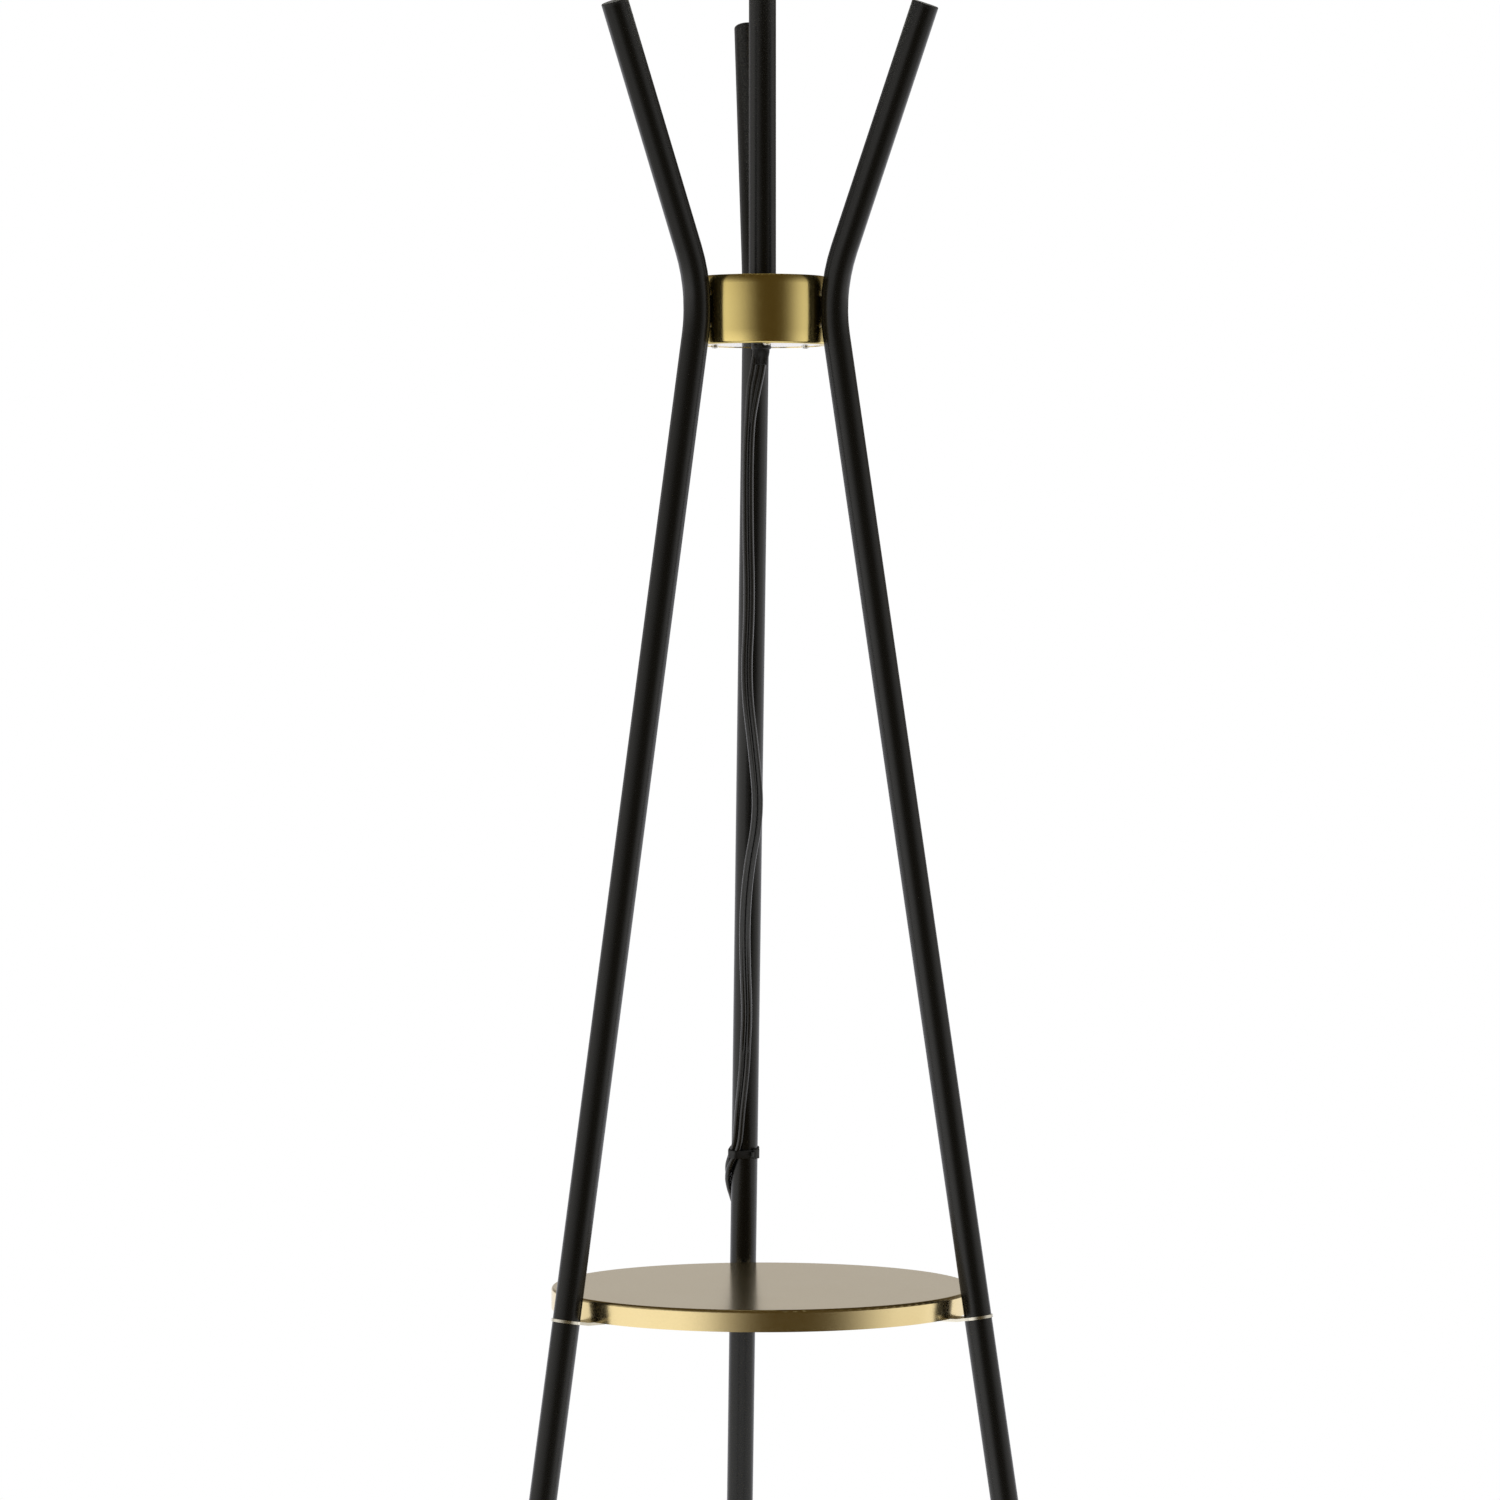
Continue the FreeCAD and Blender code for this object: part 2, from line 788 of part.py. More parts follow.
def holder_shell():
    outer = holder_radius - holder_sheet - holder_fit
    base = Vector(0, 0, holder_bottom + holder_cap_height - holder_overlap)
    length = holder_mouth_height - holder_cap_height + holder_overlap
    shell = pipe(outer, outer - holder_sheet, length, base)
    low = holder_bottom + holder_cap_height + holder_bead_gap
    high = low + holder_bead_height
    bead = turned(
        [
            (outer - holder_bead_root, low),
            (holder_radius, low + holder_bead_root, holder_bead_bulge),
            (holder_radius, high - holder_bead_root),
            (outer - holder_bead_root, high),
        ]
    )
    return shell.fuse(bead).removeSplitter().cut(switch_bore())


def liner_outer_radius():
    return holder_radius - 2 * holder_sheet - 2 * holder_fit


def holder_liner():
    base = Vector(0, 0, holder_bottom + holder_body_bottom)
    length = holder_mouth_height - holder_body_bottom - liner_setback
    outer = liner_outer_radius()
    return pipe(outer, outer - liner_thickness, length, base).cut(switch_bore())


def terminal_seat(side):
    """Where a terminal screw's head rests in its pocket."""
    return Vector(side * (holder_body_radius - terminal_pocket), 0, holder_bottom + terminal_height)


def holder_body():
    base = Vector(0, 0, holder_bottom + holder_body_bottom)
    body = rod(holder_body_radius, holder_body_top - holder_body_bottom, base)
    for side in (-1, 1):
        pocket = block(
            Vector(2 * terminal_pocket, terminal_pocket_width, terminal_pocket_height),
            terminal_seat(side) + Vector(side * terminal_pocket, 0, 0),
        )
        body = body.cut(pocket)
        bore = terminal_screw_radius + thread_clearance
        tapped = rod(bore, terminal_screw_length, terminal_seat(side), Vector(-side, 0, 0))
        body = body.cut(tapped)
    return body.cut(switch_bore())


def terminal_screws():
    """Screw heads in the pockets, each with its shank in the body."""
    screws = []
    for side in (-1, 1):
        inward = Vector(-side, 0, 0)
        seat = terminal_seat(side) - inward * seat_gap
        screws.append(pan_screw(terminal_screw_radius, terminal_screw_length, seat, inward))
    return screws


def screw_shell():
    base = Vector(0, 0, holder_bottom + holder_body_top + seat_gap)
    length = holder_mouth_height - holder_body_top - screw_shell_setback
    return pipe(screw_shell_radius, screw_shell_radius - screw_shell_wall, length, base)


def centre_contact():
    base = Vector(0, 0, holder_bottom + holder_body_top + seat_gap / 2)
    return rod(contact_radius, contact_height, base)


def switch_shaft():
    base = Vector(0, -switch_shaft_inner - seat_gap, holder_bottom + switch_height)
    length = switch_shaft_outer - switch_shaft_inner - seat_gap
    return rod(switch_shaft_radius, length, base, front)


def switch_knob():
    """A fluted knob with a neck towards the holder."""
    length = knob_neck_length + knob_length
    base = Vector(0, -(switch_shaft_outer + knob_cover - length), holder_bottom + switch_height)
    bore = switch_shaft_radius + knob_press_gap
    profile = [
        (bore, 0),
        (knob_neck_radius, 0),
        (knob_neck_radius, knob_neck_length),
        (knob_radius, knob_neck_length + knob_neck_chamfer),
        (knob_radius, length - knob_edge, knob_edge_bulge),
        (knob_radius - knob_edge, length),
        (0, length),
        (0, length - knob_top_thickness),
        (bore, length - knob_top_thickness),
    ]
    knob = turned(profile, base, front)
    for k in range(knob_flutes):
        angle = 2 * math.pi * k / knob_flutes
        spot = base + Vector(math.cos(angle), 0, math.sin(angle)) * knob_radius
        start = spot + front * (knob_neck_length + knob_neck_chamfer)
        knob = knob.cut(rod(knob_flute_radius, knob_length, start, front))
    return knob


def bulb_bottom():
    return holder_bottom + holder_body_top + seat_gap / 2 + contact_height + bulb_lift


def bulb_tip():
    return turned(
        [
            (0, bulb_bottom()),
            (bulb_tip_flat, bulb_bottom(), bulb_tip_bulge),
            (bulb_tip_radius, bulb_bottom() + bulb_tip_height),
            (0, bulb_bottom() + bulb_tip_height),
        ]
    )


def bulb_cap():
    base = Vector(0, 0, bulb_bottom() + bulb_tip_height)
    thread = pipe(bulb_cap_radius, bulb_cap_radius - bulb_cap_wall, bulb_cap_length, base)
    return thread.fuse(rod(bulb_cap_radius, bulb_cap_wall, base)).removeSplitter()


def bulb_outline(inset):
    """The bulb's neck, flowing shoulder and round top, turned solid; inset by the glass's thickness."""
    neck = bulb_bottom() + bulb_tip_height + bulb_cap_length + seat_gap / 2
    belly = bulb_bottom() + bulb_length - bulb_radius
    big = bulb_radius - inset
    small = bulb_neck_radius - inset
    lean = math.radians(bulb_shoulder_lean)
    tangent = Vector(math.sin(lean), 0, math.cos(lean))
    start = Vector(small, 0, neck - inset)
    bend = Vector(small, 0, neck + bulb_neck_length)
    shoulder = Vector(big * math.cos(lean), 0, belly - big * math.sin(lean))
    pull = (shoulder - bend).Length / 3
    curve = Part.BezierCurve()
    curve.setPoles([bend, bend + z_axis * pull, shoulder - tangent * pull, shoulder])
    crown = Vector(big * math.sqrt(0.5), 0, belly + big * math.sqrt(0.5))
    pole = Vector(0, 0, belly + big)
    edges = [
        Part.LineSegment(Vector(0, 0, start.z), start).toShape(),
        Part.LineSegment(start, bend).toShape(),
        curve.toShape(),
        Part.Arc(shoulder, crown, pole).toShape(),
        Part.LineSegment(pole, Vector(0, 0, start.z)).toShape(),
    ]
    return Part.Face(Part.Wire(edges)).revolve(Vector(0, 0, 0), z_axis, 360)


def bulb_globe():
    """A frosted glass envelope, open at its neck."""
    return bulb_outline(0).cut(bulb_outline(bulb_glass))


def harp_bow():
    """A wire bow round the bulb with a bored boss at its top."""
    foot = holder_bottom + saddle_post_height + seat_gap / 2
    side = [
        (saddle_post_offset, foot),
        (saddle_post_offset, foot + harp_straight),
        (harp_width / 2, foot + harp_flare_height),
        (harp_width / 2 - harp_wire_radius, foot + harp_shoulder_height),
        (harp_crown_width / 2, harp_top),
    ]
    points = [(x, 0, z) for x, z in side] + [(-x, 0, z) for x, z in side[::-1]]
    wire = swept(rounded_path(points), harp_wire_radius)
    base = Vector(0, 0, harp_top - harp_boss_height / 2)
    boss = rod(harp_boss_radius, harp_boss_height, base)
    bore = rod(swivel_radius + swivel_clearance, harp_boss_height, base)
    return wire.fuse(boss).cut(bore)


def harp_sleeve(side):
    base = Vector(side * saddle_post_offset, 0, holder_bottom + saddle_shoulder_height + seat_gap)
    bore = harp_wire_radius + sleeve_clearance
    return pipe(bore + sleeve_wall, bore, sleeve_length, base)


def swivel_shoulder_base():
    return harp_top + harp_boss_height / 2 + swivel_play


def swivel_stud():
    """The stud that turns in the harp's boss, with a shoulder under the shade's washer."""
    low = harp_top - harp_boss_height / 2 - swivel_play
    shoulder = swivel_shoulder_base()
    seat = shoulder + swivel_shoulder_height
    profile = [
        (0, low - swivel_rivet_height),
        (swivel_rivet_radius, low - swivel_rivet_height),
        (swivel_rivet_radius, low),
        (swivel_radius, low),
        (swivel_radius, shoulder),
        (swivel_shoulder_radius, shoulder),
        (swivel_shoulder_radius, seat),
        (swivel_thread_radius, seat),
        (swivel_thread_radius, seat + swivel_thread_length),
        (0, seat + swivel_thread_length),
    ]
    return turned(profile)


def washer_height():
    return swivel_shoulder_base() + swivel_shoulder_height


def finial():
    """A turned finial: a collar, a waist and a ball."""
    z = washer_height() + spider_washer_thickness
    bore = swivel_thread_radius + thread_clearance
    deep = z + swivel_thread_length - spider_washer_thickness + seat_gap
    centre = z + finial_height - finial_radius
    waist = finial_waist_radius
    waist_height = centre - math.sqrt(finial_radius**2 - waist**2)
    side_chord = Vector(finial_radius - waist, 0, centre - waist_height).Length
    profile = [
        (bore, z),
        (finial_collar_radius, z),
        (finial_collar_radius, z + finial_collar_height),
        (waist, z + finial_collar_height),
        (waist, waist_height, sagitta(finial_radius, side_chord)),
        (finial_radius, centre, quarter(finial_radius)),
        (0, z + finial_height),
        (0, deep),
        (bore, deep),
    ]
    return turned(profile)


def shade_drum():
    base = Vector(0, 0, shade_bottom_height)
    return pipe(shade_radius, shade_radius - shade_wall, shade_height, base)


def ring_radius():
    return shade_radius - shade_wall - ring_gap - ring_wire_radius


def shade_ring(height):
    return Part.makeTorus(ring_radius(), ring_wire_radius, Vector(0, 0, height), z_axis)


def shade_top_frame():
    """The welded spider: washer, three arms and the top ring."""
    ring_height = shade_top_height - ring_wire_radius - ring_inset
    seat = Vector(0, 0, washer_height())
    washer = rod(spider_washer_radius, spider_washer_thickness, seat)
    near = seat + Vector(spider_washer_radius - spider_arm_overlap, 0, spider_washer_thickness / 2)
    far = Vector(ring_radius(), 0, ring_height)
    arm = rod(spider_arm_radius, (far - near).Length, near, far - near)
    frame = washer
    for azimuth in spider_arm_azimuths:
        frame = frame.fuse(turn(arm, azimuth))
    frame = frame.fuse(shade_ring(ring_height))
    reach = 2 * spider_arm_radius
    bore = rod(swivel_thread_radius + spider_hole_clearance, 3 * reach, seat - z_axis * reach)
    under = rod(spider_washer_radius, reach, seat - z_axis * reach)
    above = rod(finial_collar_radius + ring_inset, reach, seat + z_axis * spider_washer_thickness)
    return frame.cut(bore).cut(under).cut(above)


def strain_relief():
    """A rubber bush in the cover's hole with a tapered tail below."""
    bore = cord_radius + relief_bore_clearance
    z = collar_bottom
    lip_base = z + cover_thickness + seat_gap
    profile = [
        (bore, z - relief_flange_height - relief_taper_length),
        (relief_taper_end_radius, z - relief_flange_height - relief_taper_length),
        (relief_flange_radius - relief_shoulder, z - relief_flange_height),
        (relief_flange_radius, z - relief_flange_height),
        (relief_flange_radius, z),
        (relief_barrel_radius, z),
        (relief_barrel_radius, lip_base),
        (relief_lip_radius, lip_base),
        (relief_lip_radius, lip_base + relief_lip_height),
        (relief_barrel_radius, lip_base + relief_lip_height + relief_lip_chamfer),
        (relief_barrel_radius, z + relief_barrel_length),
        (bore, z + relief_barrel_length),
    ]
    return turned(profile)


def inner_wires():
    """The cord's two cores on their way up the stem."""
    low = collar_bottom + relief_barrel_length + seat_gap / 2
    high = holder_bottom + holder_body_bottom - seat_gap / 2
    return [
        rod(wire_radius, high - low, Vector(side * wire_pitch / 2, 0, low)) for side in (-1, 1)
    ]


def coil_point(turns):
    """A point of the coil and its heading after so many turns, from its outer end on the floor."""
    middle = coil_turns / 2
    angle = 2 * math.pi * turns
    away = turns - middle
    radius = coil_outer_radius - coil_pitch * (middle - abs(away))
    growth = coil_pitch / (2 * math.pi) * ((away > 1e-6) - (away < -1e-6))
    climb = min(max((away + 0.25) / 0.5, 0), 1)
    height = coil_low + coil_layer_step * climb * climb * (3 - 2 * climb)
    rise = coil_layer_step * 6 * climb * (1 - climb) / 0.5 / (2 * math.pi)
    point = Vector(
        coil_centre[0] - radius * math.cos(angle), coil_centre[1] + radius * math.sin(angle), height
    )
    heading = Vector(
        radius * math.sin(angle) - growth * math.cos(angle),
        radius * math.cos(angle) + growth * math.sin(angle),
        rise,
    )
    return point, heading.normalize()


def biarc(start, start_heading, end, end_heading):
    """Two tangent arcs between two points with given headings."""
    chord = end - start
    total = start_heading + end_heading
    a = 2 * (1 - start_heading.dot(end_heading))
    b = 2 * chord.dot(total)
    c = -chord.dot(chord)
    reach = (-b + math.sqrt(b * b - 4 * a * c)) / (2 * a) if a > 1e-9 else -c / b
    first = start + start_heading * reach
    second = end - end_heading * reach
    meeting = (first + second) * 0.5
    arcs = []
    for p, corner, q in ((start, first, meeting), (meeting, second, end)):
        half = (corner - p).getAngle(q - corner) / 2
        bulge = (p + q) * 0.5
        inward = corner - bulge
        rise = (q - p).Length / 2 * math.tan(half / 2)
        arcs.append(Part.Arc(p, bulge + inward.normalize() * rise, q).toShape())
    return arcs


def tail_points():
    """From the coil's upper end down to the plug on the floor."""
    end, heading = coil_point(coil_turns)
    plug_back = plug_point()
    lead = end + heading * tail_lead
    return [
        end,
        lead,
        lead + heading * tail_drop_reach + Vector(*tail_drop),
        plug_back - front * tail_end_run,
        plug_back,
    ]


def plug_point():
    """Where the cord enters the plug's neck."""
    end, _ = coil_point(coil_turns)
    return Vector(end.x + plug_offset[0], end.y + plug_offset[1], plug_height / 2 + plug_floor_gap)


def coil_edges():
    edges = []
    steps = int(round(coil_turns * 4))
    for k in range(steps):
        edges += biarc(*coil_point(k / 4), *coil_point((k + 1) / 4))
    return edges


def coil_gap(edges):
    """The least gap of the coil to itself, from points along it."""
    points = []
    for edge in edges:
        points += edge.discretize(Number=9)[:-1]
    least = 1e9
    apart = int(3 * cord_diameter / (points[1] - points[0]).Length) + 2
    for i, p in enumerate(points):
        for q in points[i + apart:]:
            least = min(least, (p - q).Length)
    return least - cord_diameter


def tail_edges():
    return rounded_path([tuple(p) for p in tail_points()], "cord tail")


def cord_route():
    start, heading = coil_point(0)
    run_in = start - heading * cord_last_run
    return cord_points + [tuple(run_in), tuple(start)]


def report_tube(name, solid, edges):
    length = sum(e.Length for e in edges)
    expected = length * math.pi * cord_radius**2
    print(f"{name}: length {length:.0f} mm, volume over section times length {solid.Volume / expected:.4f}")


def leg_local(shape, azimuth, height):
    """Place a shape built round Z on a leg's axis at a height, its X pointing outwards."""
    along = (height - joint.z) / leg_down.z
    at = joint + leg_down * along
    copy = shape.copy()
    copy.rotate(Vector(0, 0, 0), Vector(0, 1, 0), -math.degrees(splay))
    copy.translate(at)
    return turn(copy, azimuth)


def cord_at(height):
    """The way from the rear leg's axis to the cord at a height, as a vector (outward, sideways)."""
    for a, b in zip(cord_points, cord_points[1:]):
        if a[2] >= height >= b[2]:
            share = (a[2] - height) / (a[2] - b[2])
            x = a[0] + (b[0] - a[0]) * share
            y = a[1] + (b[1] - a[1]) * share
    axis = joint.x + (joint.z - height) * math.tan(splay)
    return Vector((y - axis) * math.cos(splay), -x, 0)


def wrap_outline(centre, small, big):
    """The taut outline round a circle at the origin and a smaller one at a centre."""
    distance = centre.Length
    along = centre.normalize()
    across = Vector(-along.y, along.x, 0)
    angle = math.acos((big - small) / distance)
    up = along * math.cos(angle) + across * math.sin(angle)
    down = along * math.cos(angle) - across * math.sin(angle)
    far = along * distance
    wire = Part.Wire(
        [
            Part.LineSegment(up * big, far + up * small).toShape(),
            Part.Arc(far + up * small, far + along * small, far + down * small).toShape(),
            Part.LineSegment(far + down * small, down * big).toShape(),
            Part.Arc(down * big, along * -big, up * big).toShape(),
        ]
    )
    return Part.Face(wire)


def cable_tie(height, reach):
    """A flat band round leg and cord, with its lock head at the leg's side."""
    cord_place = cord_at(height).normalize() * reach
    inner_big = leg_radius + tie_slack
    inner_small = cord_radius + tie_cord_slack
    inner = wrap_outline(Vector(cord_place), inner_small, inner_big)
    outer = wrap_outline(Vector(cord_place), inner_small + tie_band, inner_big + tie_band)
    band = outer.cut(inner).extrude(Vector(0, 0, tie_width))
    head = block(
        Vector(tie_head, tie_band * 2, tie_head), Vector(0, -inner_big - tie_band * 1.4, tie_width / 2)
    )
    band = moved(band.fuse(head).removeSplitter(), Vector(0, 0, -tie_width / 2))
    return leg_local(band, leg_azimuths["rear"], height)


def coil_tie():
    """A soft band round the coil's turns, on the side away from the lamp."""
    inner_edge = coil_outer_radius - coil_pitch * coil_turns / 2 - cord_radius - coil_tie_slack
    outer_edge = coil_outer_radius + cord_radius + coil_tie_slack
    low = coil_low - cord_radius - tie_floor_gap / 2
    high = coil_high + cord_radius + coil_tie_slack
    span = outer_edge - inner_edge
    rise = high - low
    middle = Vector(0, (inner_edge + outer_edge) / 2, (low + high) / 2)
    inside = block(Vector(coil_tie_width, span, rise), middle)
    outside = block(
        Vector(coil_tie_width, span + 2 * coil_tie_band, rise + 2 * coil_tie_band), middle
    )

    def softened(shape, radius):
        edges = [e for e in shape.Edges if abs(e.tangentAt(e.FirstParameter).x) > 0.9]
        return shape.makeFillet(radius, edges)

    band = softened(outside, cord_radius + coil_tie_band).cut(softened(inside, cord_radius))
    return moved(band, Vector(coil_centre[0], coil_centre[1], 0))


def plug_body():
    """A moulded plug lying on the floor, its neck towards the cord."""
    back = plug_point()
    centre = back - Vector(0, plug_neck_length + plug_length / 2, 0)
    body = block(Vector(plug_width, plug_length, plug_height), centre)
    along = [e for e in body.Edges if abs(e.tangentAt(e.FirstParameter).y) > 0.9]
    body = body.makeFillet(plug_corner_radius, along)
    ends = [e for e in body.Edges if abs(abs(e.CenterOfMass.y - centre.y) - plug_length / 2) < 0.01]
    body = body.makeFillet(plug_edge_radius, ends)
    wide = plug_neck_radius + plug_neck_flare
    neck = Part.makeCone(plug_neck_radius, wide, plug_neck_length + plug_edge_radius, back, front)
    return body.fuse(neck).removeSplitter()


def plug_blades():
    front = plug_point() - Vector(0, plug_neck_length + plug_length, 0)
    blades = []
    for side in (-1, 1):
        centre = front + Vector(side * blade_spacing / 2, -blade_length / 2, 0)
        blade = block(Vector(blade_thickness, blade_length, blade_width), centre)
        start = centre + front * blade_hole_offset - x_axis * blade_thickness
        hole = rod(blade_hole_radius, 2 * blade_thickness, start, x_axis)
        blades.append(blade.cut(hole))
    return blades


def build():
    for name, azimuth in leg_azimuths.items():
        save("upper_leg_" + name, turn(upper_leg(), azimuth))
        save("arm_cap_" + name, turn(arm_cap(), azimuth))
        save("lower_leg_" + name, turn(lower_leg(), azimuth))
        save("foot_tip_" + name, turn(foot_tip(), azimuth))
        save("shelf_tab_" + name, turn(shelf_tab(), azimuth))
    angles = list(leg_azimuths.values())
    inserts = [leg_insert(1), leg_insert(-1)]
    save("leg_inserts", *[turn(piece, a) for a in angles for piece in inserts])
    save("leg_joint_studs", *[turn(joint_stud(), a) for a in angles])
    save("leg_screws", *[turn(screw, a) for a in angles for screw in leg_screws()])
    save("leg_nut_bars", *[turn(nut_bar(), a) for a in angles])

    save("collar_cup", collar_cup())
    save("collar_cover", collar_cover())
    cover_screw = pan_screw(cover_screw_radius, cover_screw_length, cover_screw_base(), z_axis)
    save("cover_screws", *[turn(cover_screw, a + 60) for a in angles])
    save("collar_nipple", nipple(collar_top))
    nut_base = collar_top - collar_wall - seat_gap / 2
    lock_nut = hexagon_nut(
        lock_nut_flats, nipple_radius + thread_clearance, lock_nut_height, Vector(0, 0, nut_base), z_axis * -1
    )
    save("collar_lock_nut", lock_nut)

    save("stem_tube", stem_tube())
    save("stem_lower_insert", stem_insert(collar_top + seat_gap))
    save("stem_upper_insert", stem_insert(stem_top_height - stem_insert_length))

    save("shelf_pan", shelf_pan())
    save("tab_nuts", *[turn(nut, a) for a in angles for nut in tab_nuts()])

    save("holder_nipple", nipple(stem_top_height))
    save("harp_saddle", harp_saddle())
    save("holder_cap", holder_cap())
    save("holder_shell", holder_shell())
    save("holder_liner", holder_liner())
    save("holder_body", holder_body())
    save("terminal_screws", *terminal_screws())
    save("screw_shell", screw_shell())
    save("centre_contact", centre_contact())
    save("switch_shaft", switch_shaft())
    save("switch_knob", switch_knob())
    save("bulb_tip", bulb_tip())
    save("bulb_cap", bulb_cap())
    save("bulb_globe", bulb_globe())

    save("harp_bow", harp_bow())
    save("harp_sleeve_left", harp_sleeve(-1))
    save("harp_sleeve_right", harp_sleeve(1))
    save("swivel_stud", swivel_stud())
    save("finial", finial())
    save("shade_drum", shade_drum())
    save("shade_top_frame", shade_top_frame())
    save("shade_bottom_ring", shade_ring(shade_bottom_height + ring_wire_radius + ring_inset))

    save("strain_relief", strain_relief())
    save("inner_wires", *inner_wires())
    run = rounded_path(cord_route(), "cord run")
    cord = swept(run, cord_radius)
    report_tube("cord run", cord, run)
    save("cord_run", cord)
    winding = coil_edges()
    print(f"cord coil: least gap {coil_gap(winding):.2f} mm")
    coil = winding + tail_edges()
    wound = swept(coil, cord_radius)
    report_tube("cord coil", wound, coil)
    save("cord_coil", wound)
    save("cable_ties", *[cable_tie(h, reach) for h, reach in zip(tie_heights, tie_cord_reaches)])
    save("coil_tie", coil_tie())
    save("plug_body", plug_body())
    save("plug_blades", *plug_blades())


build()
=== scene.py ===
import math
import bmesh
import bpy
from mathutils import Matrix, Vector


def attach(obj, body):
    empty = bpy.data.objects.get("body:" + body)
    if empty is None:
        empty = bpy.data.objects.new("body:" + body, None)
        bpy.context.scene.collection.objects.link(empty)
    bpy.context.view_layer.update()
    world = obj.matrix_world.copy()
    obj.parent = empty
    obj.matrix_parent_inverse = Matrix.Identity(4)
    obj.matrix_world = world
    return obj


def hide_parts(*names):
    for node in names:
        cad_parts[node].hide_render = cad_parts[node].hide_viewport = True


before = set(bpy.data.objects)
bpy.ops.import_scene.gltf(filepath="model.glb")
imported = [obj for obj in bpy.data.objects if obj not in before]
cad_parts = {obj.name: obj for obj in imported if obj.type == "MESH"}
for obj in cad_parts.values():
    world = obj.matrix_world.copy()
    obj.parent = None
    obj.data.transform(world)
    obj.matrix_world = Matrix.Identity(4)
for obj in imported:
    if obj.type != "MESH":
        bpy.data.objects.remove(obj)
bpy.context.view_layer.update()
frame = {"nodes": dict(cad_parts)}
nodes = frame["nodes"]
scene = bpy.context.scene
pi = math.pi
origin = Vector((0, 0, 0))
zAxis = Vector((0, 0, 1))

# Camera, world, lamps
cameraView = {
    "place": (-0.3646, -4.1841, 0.960),
    "aim": (-0.00867, 0.00075, 0.8558),  # in the lamp's axis plane
    "lens": 144.0,
}
camera = bpy.data.objects.new("camera", bpy.data.cameras.new("camera"))
scene.collection.objects.link(camera)
camera.location = cameraView["place"]
camera.rotation_euler = (Vector(cameraView["aim"]) - camera.location).to_track_quat("-Z", "Y").to_euler()
camera.data.lens = cameraView["lens"]
camera.data.sensor_width = 36.0
scene.camera = camera
scene.view_settings.view_transform = "Standard"

# Directions are azimuths in degrees from the camera's side, to the right of the lamp as seen in the picture
frontAzimuth = math.radians(265.02)


def roundTheLamp(degrees, distance, height):
    a = frontAzimuth + math.radians(degrees)
    return Vector((math.cos(a) * distance, math.sin(a) * distance, height))


def softbox(name, degrees, distance, height, width, tall, radiance, aimHeight):
    light = bpy.data.lights.new(name, "AREA")
    light.shape = "RECTANGLE"
    light.size = width
    light.size_y = tall
    light.energy = radiance * pi * width * tall
    box = bpy.data.objects.new(name, light)
    scene.collection.objects.link(box)
    box.location = roundTheLamp(degrees, distance, height)
    toLamp = Vector((0, 0, aimHeight)) - box.location
    box.rotation_euler = toLamp.to_track_quat("-Z", "Y").to_euler()
    box.visible_camera = False
    box.visible_glossy = False  # polished metal sees the studio of the world instead


softboxes = {
    "left": dict(degrees=-66, distance=2.3, height=1.2, width=2.4, tall=2.0, radiance=1.0, aimHeight=0.9),
    "right": dict(degrees=78, distance=2.5, height=1.2, width=2.0, tall=2.0, radiance=0.85, aimHeight=0.9),
    "top": dict(degrees=-20, distance=0.6, height=3.4, width=1.8, tall=1.8, radiance=1.0, aimHeight=0.8),
}
for boxName, settings in softboxes.items():
    softbox(boxName + "Softbox", **settings)

# The studio round the lamp: levels by azimuth, times levels by height above the horizon, in degrees
studio = {
    "ambient": 0.70,  # on matt surfaces
    "sides": [  # below the horizon
        (-180, 0.0), (-118, 0.0), (-104, 0.72), (-94, 1.0), (-44, 1.02), (-36, 0.90), (-28, 0.68), (-20, 0.38),
        (-12, 0.17), (-5, 0.05), (4, 0.0), (24, 0.0), (35, 0.03), (44, 0.13), (52, 0.30), (60, 0.50),
        (68, 0.69), (78, 0.84), (104, 0.84), (114, 0.42), (126, 0.0), (180, 0.0),
    ],
    "sidesAbove": [
        (-180, 0.0), (-122, 0.0), (-106, 0.75), (-94, 1.0), (-76, 1.0), (-64, 0.88), (-52, 0.69), (-40, 0.48),
        (-29, 0.28), (-18, 0.12), (-8, 0.02), (0, 0.0), (24, 0.0), (35, 0.03), (44, 0.14), (52, 0.31),
        (60, 0.50), (68, 0.68), (78, 0.82), (104, 0.82), (114, 0.42), (126, 0.0), (180, 0.0),
    ],
    "sideHeights": [
        (-90, 0.4), (-45, 0.35), (-20, 0.5), (-10, 1.0), (-1, 1.0), (3, 0.69), (14, 0.45), (22, 0.25), (30, 0.11),
        (40, 0.035), (55, 0.015), (90, 0.01),
    ],
    "behind": [(-180, 2.0), (-118, 2.0), (-108, 0.6), (-98, 0.0), (98, 0.0), (108, 0.6), (118, 2.0), (180, 2.0)],
    "behindAbove": [
        (-180, 1.0), (-171, 1.0), (-162, 0.3), (-150, 0.4), (-138, 1.3), (-124, 0.6), (-108, 0.0), (108, 0.0),
        (125, 0.15), (158, 0.25), (170, 1.0), (180, 1.0),
    ],
    "behindHeights": [
        (-90, 0.4), (-30, 0.6), (-10, 1.05), (-1.5, 1.05), (1.5, 1.04), (12, 1.04), (21, 0.35), (32, 0.08),
        (50, 0.02), (90, 0.01),
    ],
    "backdrop": (0.424, 0.432, 0.468),
    "nearSide": (0.054, 0.037, 0.009),
    "floorColour": (0.86, 0.86, 0.85),
    "floorRadius": 1.3,
    "floorDrop": 0.0002,  # below the feet
    "floorFade": (0.45, 1.25),  # distance over which the floor turns white for the camera
}


